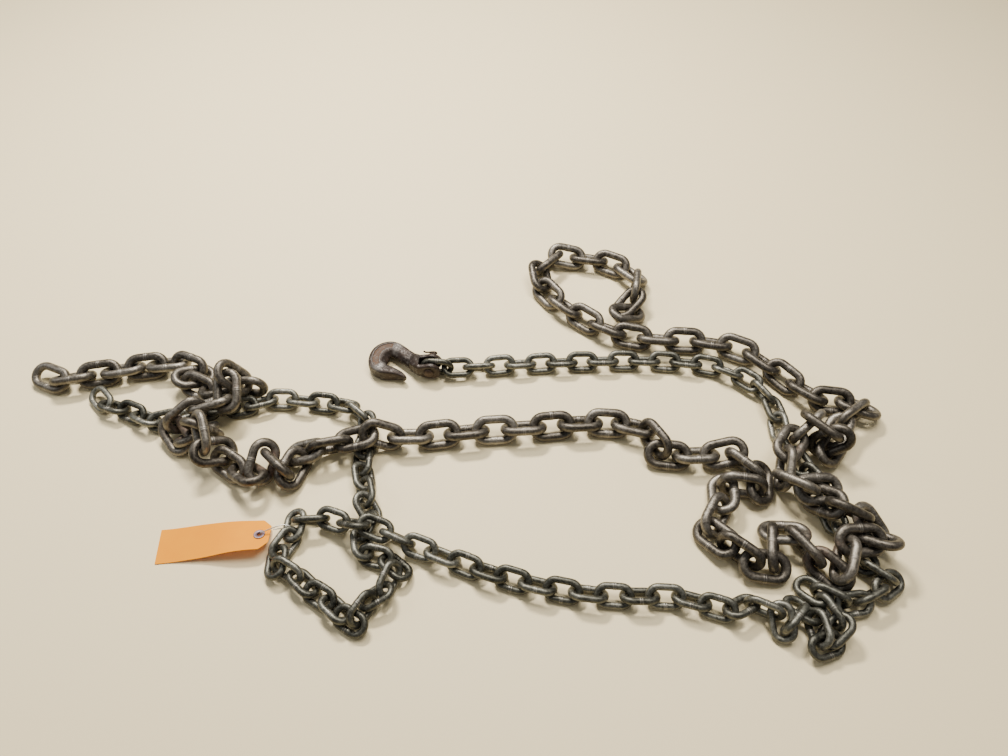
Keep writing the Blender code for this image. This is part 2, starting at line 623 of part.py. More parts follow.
def hook_section(flat):
    """The bow's section, in shares of its half width (inward) and half thickness (upward)."""
    slope = 0.55 + 0.45 * flat
    return ((1, -0.2), (1, 0.2), (slope, 0.7), (flat, 1), (-0.75, 1), (-1, 0.5), (-1, -0.5), (-0.75, -1),
            (flat, -1), (slope, -0.7))


def make_hook(pin):
    """The grab hook: a bow of rounded section, a root block and two ears bored for the pin."""
    shape = smooth_line(HOOK_LINE, HOOK_STATIONS_PER_STEP)
    line = np.array([(row[0], row[1], 0.0) for row in shape])
    tangents = unit(np.gradient(line, axis=0))
    base = np.array([pin[0], pin[1], HOOK_CENTRE_HEIGHT])
    vertices = []
    for point, tangent, row in zip(line, tangents, shape):
        side = cross(UP, tangent)
        section = hook_section(row[4])
        vertices += [base + point + side * row[2] * a + UP * row[3] * b for a, b in section]
    hook = make_object("grab_hook", [(vertices, ring_faces(len(line), len(section), closed=False))])
    outer = CLEVIS_GAP / 2 + CLEVIS_EAR_THICKNESS
    root = []
    corners = ((-1, -0.6), (-0.7, -1), (0.7, -1), (1, -0.6), (1, 0.6), (0.7, 1), (-0.7, 1), (-1, 0.6))
    for x, y, z, half_width, half_height in HOOK_ROOT:
        root += [pin + np.array([x, y + half_width * a, z + half_height * b]) for a, b in corners]
    parts = [make_object("root", [(root, ring_faces(len(HOOK_ROOT), len(corners), closed=False))])]
    for end in (-1, 1):
        inner_face, outer_face = CLEVIS_GAP / 2 * end, outer * end
        outline = [(HOOK_ROOT[-1][0] - 1.0, HOOK_ROOT[-1][4] - 1.0)]
        outline += [(CLEVIS_EAR_OFFSET + CLEVIS_EAR_RADIUS * math.cos(a), CLEVIS_EAR_RADIUS * math.sin(a))
                    for a in np.radians(np.linspace(125, -125, 15))]
        outline += [(HOOK_ROOT[-1][0] - 1.0, 1.0 - HOOK_ROOT[-1][4])]
        ear = [pin + np.array([x, y, z]) for y in (inner_face, outer_face) for x, z in outline]
        parts.append(make_object("ear", [(ear, ring_faces(2, len(outline), closed=False))]))
    combine(hook, parts, "UNION")
    bore_radius = (PIN_DIAMETER / 2 + PIN_BORE_CLEARANCE) / math.cos(math.pi / PIN_SIDES)
    reach = outer + CUT_REACH
    bore = make_object("bore", [rod(pin, (0, 1, 0), -reach, reach, bore_radius, PIN_SIDES)])
    return combine(hook, [bore], "DIFFERENCE")


def make_pin(pin):
    """The clevis pin with its head on the near side and the cotter's hole on the far side."""
    outer = CLEVIS_GAP / 2 + CLEVIS_EAR_THICKNESS
    seat = -outer - PIN_BORE_CLEARANCE
    head, radius = PIN_HEAD_DIAMETER / 2, PIN_DIAMETER / 2
    far = outer + PIN_FAR_LENGTH
    profile = ((seat - PIN_HEAD_THICKNESS, head * 0.7), (seat - PIN_HEAD_THICKNESS * 0.7, head * 0.93),
               (seat, head), (seat, radius), (far - 0.8, radius), (far, radius - 0.8))
    vertices = turned(profile, pin, (0, 1, 0), PIN_SIDES)
    made = make_object("clevis_pin", [(vertices, ring_faces(len(profile), PIN_SIDES, closed=False))])
    place = pin + np.array([0.0, outer + COTTER_OFFSET, 0.0])
    hole_radius = COTTER_DIAMETER / 2 + COTTER_HOLE_CLEARANCE
    hole = make_object("hole", [rod(place, (0, 0, 1), -radius * 2, radius * 2, hole_radius, COTTER_SIDES)])
    return combine(made, [hole], "DIFFERENCE")


def make_cotter(pin):
    place = pin + np.array([0.0, CLEVIS_GAP / 2 + CLEVIS_EAR_THICKNESS + COTTER_OFFSET, 0.0])
    line = [place + np.array([x, 0.0, z]) for x, z in smooth_line(COTTER_LINE, 2)]
    return make_object("cotter_pin", [tube(line, COTTER_DIAMETER / 2, COTTER_SIDES)])


def tag_height(u):
    """Height of the tag's middle surface, rising to its eyelet end."""
    t = min(max((u / TAG_LENGTH - 0.4) / 0.5, 0.0), 1.0)
    return TAG_FLOOR_GAP + TAG_THICKNESS / 2 + TAG_CURL_HEIGHT * t * t * (3 - 2 * t)


def tag_point(u, v, height):
    """A point of the tag, with u from its plain end and v across it, at a height on the bench."""
    heading = math.radians(TAG_HEADING)
    along = u - TAG_LENGTH / 2
    x = TAG_CENTRE[0] + along * math.cos(heading) - v * math.sin(heading)
    y = TAG_CENTRE[1] + along * math.sin(heading) + v * math.cos(heading)
    return np.array([x, y, height])


def make_tag():
    """The paper tag: a curled sheet with two clipped corners and the eyelet's hole."""
    stations = list(np.linspace(0, TAG_LENGTH - TAG_CLIP, TAG_STRIPS)) + [TAG_LENGTH]
    vertices = []
    for u in stations:
        half = TAG_WIDTH / 2 - max(0.0, u - (TAG_LENGTH - TAG_CLIP))
        for v, side in ((-half, -1), (half, -1), (half, 1), (-half, 1)):
            vertices.append(tag_point(u, v, tag_height(u) + side * TAG_THICKNESS / 2))
    tag = make_object("tag", [(vertices, ring_faces(len(stations), 4, closed=False))])
    place = tag_point(TAG_LENGTH - EYELET_INSET, 0.0, tag_height(TAG_LENGTH - EYELET_INSET))
    hole_radius = (EYELET_BARREL_RADIUS + EYELET_GAP) / math.cos(math.pi / EYELET_SIDES)
    hole = make_object("hole", [rod(place, (0, 0, 1), -CUT_REACH, CUT_REACH, hole_radius, EYELET_SIDES)])
    return combine(tag, [hole], "DIFFERENCE"), place


def make_eyelet(place):
    """The eyelet: a barrel through the tag's hole with a flange on either side."""
    inner = TAG_THICKNESS / 2 + EYELET_GAP
    outer = inner + EYELET_FLANGE_THICKNESS
    profile = ((-outer, EYELET_BORE_RADIUS), (-outer, EYELET_FLANGE_RADIUS), (-inner, EYELET_FLANGE_RADIUS),
               (-inner, EYELET_BARREL_RADIUS), (inner, EYELET_BARREL_RADIUS), (inner, EYELET_FLANGE_RADIUS),
               (outer, EYELET_FLANGE_RADIUS), (outer, EYELET_BORE_RADIUS))
    vertices = turned(profile, place, (0, 0, 1), EYELET_SIDES)
    return make_object("tag_eyelet", [(vertices, ring_faces(len(profile), EYELET_SIDES, closed=True))])


def make_tag_wire():
    """The tag's wire: a round wire swept along its route, with filled ends."""
    line = smooth_line(TAG_WIRE_LINE, 2)
    route = bpy.data.curves.new("tag_wire_route", "CURVE")
    route.dimensions = "3D"
    route.bevel_depth = TAG_WIRE_DIAMETER / 2
    route.bevel_resolution = 2
    route.use_fill_caps = True
    spline = route.splines.new("POLY")
    spline.points.add(len(line) - 1)
    for point, place in zip(spline.points, line):
        point.co = (*place, 1.0)
    swept = bpy.data.objects.new("tag_wire_route", route)
    bpy.context.scene.collection.objects.link(swept)
    graph = bpy.context.evaluated_depsgraph_get()
    mesh = bpy.data.meshes.new_from_object(swept.evaluated_get(graph))
    bpy.data.objects.remove(swept)
    wire = bpy.data.objects.new("tag_wire", mesh)
    bpy.context.scene.collection.objects.link(wire)
    return wire


def material(name, colour, roughness, metallic):
    made = bpy.data.materials.new(name)
    made.use_nodes = True
    shader = made.node_tree.nodes["Principled BSDF"]
    shader.inputs["Base Color"].default_value = (*colour, 1.0)
    shader.inputs["Roughness"].default_value = roughness
    shader.inputs["Metallic"].default_value = metallic
    return made


def finish(objects, held_out):
    """Moves the heap over the origin, scales it to metres and puts each origin at its middle."""
    corners = []
    for made in objects:
        if made not in held_out:
            corners += [np.array(vertex.co) for vertex in made.data.vertices]
    low, high = np.min(corners, axis=0), np.max(corners, axis=0)
    origin = Vector(((low[0] + high[0]) / 2, (low[1] + high[1]) / 2, low[2]))
    for made in objects:
        places = np.array([vertex.co for vertex in made.data.vertices])
        middle = Vector((places.min(0) + places.max(0)) / 2)
        for vertex in made.data.vertices:
            vertex.co = (vertex.co - middle) * METRES_PER_UNIT
        made.location = (middle - origin) * METRES_PER_UNIT


def build():
    for old in list(bpy.data.objects):
        bpy.data.objects.remove(old)
    heap = Heap()
    heap.ease()
    runs = make_runs(heap)
    hook_link = heap.centre[heap.hook_link]
    reach = SMALL_PITCH / 2 - PIN_DIAMETER / 2 - PIN_SEAT_GAP
    pin_centre = hook_link - heap.along[heap.hook_link] * reach
    hook = make_hook(pin_centre)
    pin = make_pin(pin_centre)
    cotter = make_cotter(pin_centre)
    tag, eyelet_place = make_tag()
    eyelet = make_eyelet(eyelet_place)
    wire = make_tag_wire()

    large_steel = material("large_chain_steel", (0.13, 0.115, 0.10), 0.5, 0.85)
    small_steel = material("small_chain_steel", (0.085, 0.085, 0.078), 0.45, 0.85)
    looks = {
        hook: material("hook_steel", (0.12, 0.07, 0.045), 0.6, 0.7),
        pin: material("pin_steel", (0.11, 0.065, 0.045), 0.6, 0.7),
        cotter: material("cotter_steel", (0.10, 0.06, 0.04), 0.6, 0.7),
        tag: material("tag_paper", (0.95, 0.38, 0.06), 0.8, 0.0),
        eyelet: material("eyelet_metal", (0.25, 0.17, 0.20), 0.5, 0.4),
        wire: material("tag_wire_metal", (0.6, 0.6, 0.58), 0.35, 0.9),
    }
    for run in runs:
        looks[run] = large_steel if run.name.startswith(LARGE.name) else small_steel
    for made, look in looks.items():
        made.data.materials.clear()
        made.data.materials.append(look)
        made.data.shade_smooth()
        made.data.set_sharp_from_angle(angle=math.radians(SHARP_EDGE_ANGLE))
    finish(list(looks), held_out=[wire])


build()
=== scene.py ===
import math
from collections import namedtuple

import bmesh
import bpy
import numpy as np
from mathutils import Matrix, Vector


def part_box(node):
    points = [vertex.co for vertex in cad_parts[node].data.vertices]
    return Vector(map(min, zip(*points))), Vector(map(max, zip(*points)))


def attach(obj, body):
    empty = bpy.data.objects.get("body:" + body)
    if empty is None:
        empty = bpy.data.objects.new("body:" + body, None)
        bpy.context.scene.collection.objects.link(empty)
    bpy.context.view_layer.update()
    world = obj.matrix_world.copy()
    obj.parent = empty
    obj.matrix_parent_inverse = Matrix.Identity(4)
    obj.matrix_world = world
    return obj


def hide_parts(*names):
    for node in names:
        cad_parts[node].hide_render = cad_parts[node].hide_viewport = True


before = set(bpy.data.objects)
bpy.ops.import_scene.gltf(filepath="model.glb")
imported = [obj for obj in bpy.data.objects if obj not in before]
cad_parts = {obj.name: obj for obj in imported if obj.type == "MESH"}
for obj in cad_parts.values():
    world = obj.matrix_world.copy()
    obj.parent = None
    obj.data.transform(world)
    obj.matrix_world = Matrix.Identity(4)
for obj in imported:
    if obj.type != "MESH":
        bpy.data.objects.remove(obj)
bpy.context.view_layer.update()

METRES_PER_UNIT = 0.001
SEED = 11

# Chain sizes: wire diameter, inside length and inside width of a link.
LARGE_WIRE = 10.0
LARGE_PITCH = 35.5
LARGE_INSIDE_WIDTH = 15.0
SMALL_WIRE = 7.2
SMALL_PITCH = 27.6
SMALL_INSIDE_WIDTH = 12.5
WIRE_SECTION_GROWTH = 1.06
ARC_ANGLES = (-67.5, -22.5, 22.5, 67.5)
ARC_GROWTH = 1.045
LARGE_RUNS = 23
SMALL_RUNS = 24

# Clear space between two wires, and the steps that lay the links out.
WIRE_GAP = 0.9
START_LIFT = 16.0
THREADING_STEPS = 400
CLOSE_STEPS = 200
TURNING_STEPS = 100
THICKENING_STEPS = 200
LOWERING_STEPS = 400
SLOW_STEPS = 60
SETTLING_STEPS = 500

# Grab hook, clevis pin and cotter. The hook's line runs from the clevis round the bow to the tip.
PIN_DIAMETER = 8.0
PIN_SEAT_GAP = 0.5
PIN_BORE_CLEARANCE = 0.3
PIN_HEAD_DIAMETER = 13.0
PIN_HEAD_THICKNESS = 3.2
PIN_FAR_LENGTH = 9.0
CLEVIS_GAP = 11.0
CLEVIS_EAR_THICKNESS = 5.8
CLEVIS_EAR_RADIUS = 12.5
CLEVIS_EAR_OFFSET = 2.0
HOOK_CENTRE_HEIGHT = 8.95
COTTER_DIAMETER = 2.2
COTTER_HOLE_CLEARANCE = 0.4

# Paper tag with its clipped end and eyelet.
TAG_LENGTH = 121.0
TAG_WIDTH = 40.0
TAG_THICKNESS = 0.8
TAG_CLIP = 9.0
TAG_CENTRE = (-381.0, 146.0)
TAG_HEADING = 10.5
TAG_FLOOR_GAP = 0.4
TAG_CURL_HEIGHT = 6.0
EYELET_INSET = 11.0
EYELET_BORE_RADIUS = 2.4
EYELET_BARREL_RADIUS = 3.4
EYELET_FLANGE_RADIUS = 6.0
EYELET_FLANGE_THICKNESS = 0.8
EYELET_GAP = 0.3
TAG_WIRE_DIAMETER = 1.2

# Traced routes. Each row is the number of links further on, x, y, the height of the centre,
# the lean of the link's broad side in degrees (0 lies flat, 90 stands on edge) and its heading
# in degrees. A heading of None follows the route, and the links in between lean by turns.
LARGE_ROUTE = (
    (0, -654, 342, 13, 45, -28), (1, -627, 342, 13, -45, 12), (1, -597, 354, 13, 45, -5),
    (1, -569, 361, 13, -45, 20), (1, -541, 370, 13, 45, 0), (1, -513, 374, 15, -45, 18),
    (1, -486, 370, 22, 45, -22), (1, -479, 362, 12, -15, -152), (1, -458, 337, 20, 45, -22),
    (1, -437, 326, 6, -5, 0), (1, -403, 343, 16, 40, 34), (1, -396, 337, 28, 15, 140),
    (1, -421, 334, 30, 8, -76), (1, -435, 312, 27, -70, -122), (1, -462, 287, 19, 42, -120),
    (1, -470, 266, 8, 8, -24), (1, -446, 274, 10, -15, 20), (1, -424, 284, 17, -30, -136),
    (1, -428, 254, 24, 58, -56), (1, -411, 249, 12, 12, 6), (1, -387, 236, 18, 50, -38),
    (1, -362, 221, 9, 18, -27), (1, -350, 242, 15, 30, 50), (1, -333, 238, 17, -55, -47),
    (1, -319, 232, 15, 40, 77), (1, -311, 261, 15, 30, 25), (1, -276, 266, 22, -60, 32),
    (1, -250, 276, 28, 5, 12), (1, -222, 282, 28, 60, 5), (1, -191, 290, 17, -45, 10),
    (1, -160, 297, 14, 45, None), (4, -25, 320, 14, 45, None), (2, 41, 331, 14, 45, 2),
    (1, 69, 325, 16, -50, -18), (1, 93, 312, 22, 60, -48), (1, 108, 290, 9, 5, -5),
    (1, 140, 290, 16, -60, 0), (1, 176, 296, 14, 45, 2), (1, 196, 283, 16, -50, -50),
    (1, 206, 262, 12, 10, -95), (1, 189, 257, 19, 55, 190), (1, 167, 244, 9, 0, -92),
    (1, 156, 215, 19, 60, -128), (1, 155, 192, 9, 5, -45), (1, 178, 177, 18, 60, -25),
    (1, 203, 164, 12, 15, -2), (1, 211, 183, 26, 75, 75), (1, 226, 202, 12, 10, 0),
    (1, 246, 184, 22, -70, -50), (1, 268, 163, 11, 25, -28), (1, 284, 173, 22, -65, 52),
    (1, 298, 190, 23, 30, 46), (1, 316, 189, 22, -50, -34), (1, 306, 207, 16, 35, 134),
    (1, 284, 231, 17, -40, 154), (1, 271, 245, 15, 30, 166), (1, 263, 244, 11, 10, 158),
    (1, 250, 255, 14, -60, 130), (1, 233, 281, 21, 75, 91), (1, 248, 312, 18, 25, 42),
    (1, 265, 333, 27, -60, 53), (1, 276, 326, 24, -60, -66), (1, 292, 314, 8, 8, 189),
    (1, 290, 326, 18, 40, 16), (1, 310, 339, 14, 28, 52), (1, 319, 362, 20, -50, 64),
    (1, 338, 376, 14, 20, 162), (1, 308, 384, 14, 45, 182), (1, 281, 394, 14, -45, 138),
    (1, 258, 415, 14, 45, 126), (1, 232, 438, 14, -45, 142), (1, 205, 463, 14, 45, 165),
    (1, 172, 464, 14, -45, 180), (1, 138, 471, 14, 45, 180), (1, 102, 463, 14, -45, 180),
    (1, 67, 469, 14, 45, 175), (1, 33, 480, 14, -45, 152), (1, 8, 497, 14, 45, 137),
    (1, -18, 513, 14, -45, 140), (1, -44, 542, 14, 50, 122), (1, -56, 567, 14, -20, 100),
    (1, -45, 594, 20, 70, 65), (1, -22, 612, 16, 40, 5), (1, 10, 611, 14, -45, -5),
    (1, 44, 604, 14, 45, -10), (1, 66, 585, 14, -50, -52), (1, 81, 560, 14, 45, -88),
    (1, 64, 522, 17, -30, -120), (1, 63, 508, 12, 15, 12),
)
SMALL_ROUTE = (
    (0, -174, 398, 14, 90, 0), (1, -148, 399, 13, 60, 2), (2, -97, 410, 11, 45, None),
    (4, 8, 424, 11, 45, None), (2, 61, 431, 11, 45, None), (2, 114, 434, 11, 45, None),
    (2, 167, 432, 11, 45, None), (1, 192, 427, 11, -45, -25), (1, 214, 411, 11, 45, -50),
    (1, 231, 392, 11, -45, -62), (1, 242, 366, 11, 45, -88), (1, 239, 340, 11, -45, -92),
    (1, 246, 315, 10, 45, -75), (1, 254, 291, 10, -45, -62), (1, 272, 273, 10, 45, -55),
    (1, 281, 246, 8, 10, -75), (1, 287, 219, 8, 50, -75), (1, 296, 200, 8, -45, -45),
    (1, 312, 186, 10, 45, -40), (1, 319, 164, 18, -50, 15), (1, 321, 157, 10, 30, -95),
    (1, 300, 144, 13, 70, -138), (1, 284, 130, 8, 10, 185), (1, 267, 136, 12, 60, 160),
    (1, 251, 138, 10, 20, 165), (1, 263, 125, 18, 60, -72), (1, 262, 102, 11, 20, -75),
    (1, 249, 88, 9, 10, -130), (1, 246, 105, 17, 50, 115), (1, 236, 119, 10, -10, 150),
    (1, 223, 108, 15, 70, -165), (1, 216, 108, 10, 25, 95), (1, 200, 120, 15, 80, 165),
    (1, 175, 117, 10, 20, 225), (1, 155, 113, 12, 45, 140), (1, 131, 121, 12, -45, 155),
    (1, 107, 127, 12, 45, 180), (1, 83, 120, 11, -45, 195), (1, 56, 116, 11, 45, 180),
    (2, 0, 117, 11, 45, None), (2, -55, 124, 11, 45, None), (2, -109, 138, 11, 45, None),
    (2, -163, 154, 12, 45, None), (1, -189, 166, 15, -45, 155), (1, -214, 171, 20, 45, 172),
    (1, -237, 178, 15, -20, 165), (1, -262, 180, 11, 50, 150), (1, -283, 176, 11, -40, 190),
    (1, -297, 162, 9, 10, -95), (1, -302, 147, 14, 70, -95), (1, -303, 129, 9, 5, -85),
    (1, -290, 115, 12, 50, -42), (1, -272, 105, 11, -45, -38), (1, -248, 91, 11, 45, -28),
    (1, -229, 80, 12, -45, -42), (1, -216, 75, 9, 10, -15), (1, -206, 85, 15, 50, 60),
    (1, -190, 92, 9, 0, 52), (1, -184, 114, 14, 70, 65), (1, -178, 131, 9, 5, 130),
    (1, -202, 141, 13, 60, 172), (1, -222, 149, 9, 10, 100), (1, -221, 172, 9, 60, 92),
    (2, -230, 215, 10, 60, None), (2, -240, 255, 10, 60, None), (1, -243, 277, 10, -40, 92),
    (1, -241, 300, 11, 50, 100), (1, -250, 320, 11, -50, 138), (1, -280, 332, 11, -45, 160),
    (2, -333, 333, 11, -45, None), (1, -358, 338, 11, 45, 180), (1, -383, 330, 11, -45, 190),
    (1, -402, 321, 9, 45, 195), (1, -425, 312, 9, -45, None), (1, -446, 305, 9, 45, None),
    (1, -467, 297, 10, -45, 207), (1, -490, 291, 11, 45, 204), (1, -514, 294, 11, -45, 160),
    (1, -533, 301, 11, 45, 152), (1, -558, 304, 11, -45, 180), (1, -583, 319, 11, 45, 137),
)

# The hook's line relative to the pin's centre: x, y, half width, half thickness, and the share of
# the half width, on the throat's side, where the flat top ends and its wall slopes down.
HOOK_LINE = (
    (-15.5, 4.0, 11.0, 9.0, 0.5), (-24.0, 8.6, 9.6, 8.6, 0.4), (-32.1, 13.9, 9.3, 8.4, 0.35),
    (-40.3, 19.8, 9.3, 8.6, 0.3), (-48.8, 24.3, 9.9, 9.0, 0.3), (-57.4, 23.9, 11.2, 9.0, 0.3),
    (-64.6, 18.2, 12.2, 9.0, 0.3), (-67.6, 8.6, 12.2, 9.0, 0.3), (-66.2, -1.6, 11.4, 9.0, 0.35),
    (-59.6, -8.6, 9.0, 8.8, 0.45), (-49.5, -11.0, 7.0, 8.2, 0.55), (-40.5, -12.7, 4.9, 6.8, 0.6),
    (-33.7, -15.2, 3.6, 5.4, 0.6), (-28.5, -18.8, 2.3, 3.8, 0.6),
)

# The block the ears spring from, relative to the pin's centre: x, y, z, half width, half height.
HOOK_ROOT = ((-26.0, 8.4, -4.6, 9.6, 8.0), (-19.0, 4.0, -2.0, 11.0, 9.0), (-13.5, 0.0, 0.0, 11.3, 9.6))

# The cotter's line in the plane across the pin, relative to the pin's centre: x and z.
COTTER_LINE = (
    (-10.0, 9.5), (-7.5, 7.5), (-3.0, 7.7), (1.0, 8.7), (4.6, 8.9), (6.7, 7.2), (5.6, 5.7), (2.6, 5.5),
    (0.5, 5.0), (0.0, 3.0), (0.0, -7.0),
)
COTTER_OFFSET = 4.6

# The tag wire's route: from under the tag up through the eyelet and over to the smaller chain.
TAG_WIRE_LINE = (
    (-331.5, 155.4, 3.0), (-331.5, 155.4, 6.0), (-331.0, 155.6, 9.2), (-328.4, 156.8, 10.7),
    (-322.0, 160.0, 12.6), (-315.0, 163.7, 13.6), (-309.7, 166.2, 12.8), (-305.5, 167.0, 11.9),
    (-301.3, 167.2, 10.1), (-300.1, 167.2, 6.5), (-301.6, 167.1, 3.0), (-305.5, 167.0, 1.5),
    (-309.4, 166.6, 3.0), (-311.6, 165.2, 6.0), (-314.6, 163.4, 8.6), (-318.4, 161.4, 9.8),
)

Chain = namedtuple("Chain", "name wire pitch inside_width runs")
LARGE = Chain("large_chain", LARGE_WIRE, LARGE_PITCH, LARGE_INSIDE_WIDTH, LARGE_RUNS)
SMALL = Chain("small_chain", SMALL_WIRE, SMALL_PITCH, SMALL_INSIDE_WIDTH, SMALL_RUNS)
UP = np.array([0.0, 0.0, 1.0])


def cross(a, b):
    return np.stack([
        a[..., 1] * b[..., 2] - a[..., 2] * b[..., 1],
        a[..., 2] * b[..., 0] - a[..., 0] * b[..., 2],
        a[..., 0] * b[..., 1] - a[..., 1] * b[..., 0],
    ], axis=-1)


def dot(a, b):
    return (a * b).sum(-1)


def length(a):
    return np.sqrt(dot(a, a))


def unit(a):
    return a / np.maximum(length(a), 1e-9)[..., None]


def one_row_per_link(route):
    """Fills in the links between the traced ones: a smooth path, leaning by turns."""
    number = np.cumsum([row[0] for row in route])
    place = np.array([row[1:4] for row in route], float)

    def slope(i):
        before, after = max(i - 1, 0), min(i + 1, len(route) - 1)
        return (place[after] - place[before]) / (number[after] - number[before])

    rows = []
    for i, row in enumerate(route):
        steps = row[0]
        for j in range(1, steps):
            t = j / steps
            point = ((2 * t**3 - 3 * t**2 + 1) * place[i - 1] + (t**3 - 2 * t**2 + t) * slope(i - 1) * steps
                     + (3 * t**2 - 2 * t**3) * place[i] + (t**3 - t**2) * slope(i) * steps)
            rows.append((point, -math.copysign(45, rows[-1][1]), None))
        rows.append((place[i], row[4], row[5]))
    return rows


def traced_poses(rows):
    """Centre, direction along the link and direction across its opening, for each link."""
    centre = np.array([row[0] for row in rows])
    along = np.zeros_like(centre)
    across = np.zeros_like(centre)
    for i, (_, lean, heading) in enumerate(rows):
        if heading is None:
            run = centre[min(i + 1, len(rows) - 1)] - centre[max(i - 1, 0)]
        else:
            run = np.array([math.cos(math.radians(heading)), math.sin(math.radians(heading)), 0.0])
        along[i] = unit(run)
        level = unit(cross(UP, along[i]))
        level = level if level[1] >= 0 else -level
        upright = cross(along[i], level)
        upright = upright if upright[2] >= 0 else -upright
        across[i] = math.cos(math.radians(lean)) * level + math.sin(math.radians(lean)) * upright
    return centre, along, across


def wire_outline(pitch, inside_width, wire):
    """Centre line of a link's wire as points along and across the link."""
    straight = (pitch - inside_width) / 2
    radius = (inside_width + wire) / 2 * ARC_GROWTH
    end = np.radians(ARC_ANGLES)
    front = np.stack([straight + radius * np.cos(end), radius * np.sin(end)], axis=-1)
    return np.concatenate([front, -front])


def closest_points(a0, a1, b0, b1):
    """Closest points of the segments a0-a1 and b0-b1."""
    da, db, gap = a1 - a0, b1 - b0, a0 - b0
    aa, bb, ab = dot(da, da), dot(db, db), dot(da, db)
    ga, gb = dot(da, gap), dot(db, gap)
    spread = aa * bb - ab * ab
    s = np.clip(np.where(spread > 1e-9, (ab * gb - ga * bb) / np.maximum(spread, 1e-9), 0), 0, 1)
    t = np.clip((ab * s + gb) / bb, 0, 1)
    s = np.clip((ab * t - ga) / aa, 0, 1)
    return a0 + da * s[..., None], b0 + db * t[..., None]


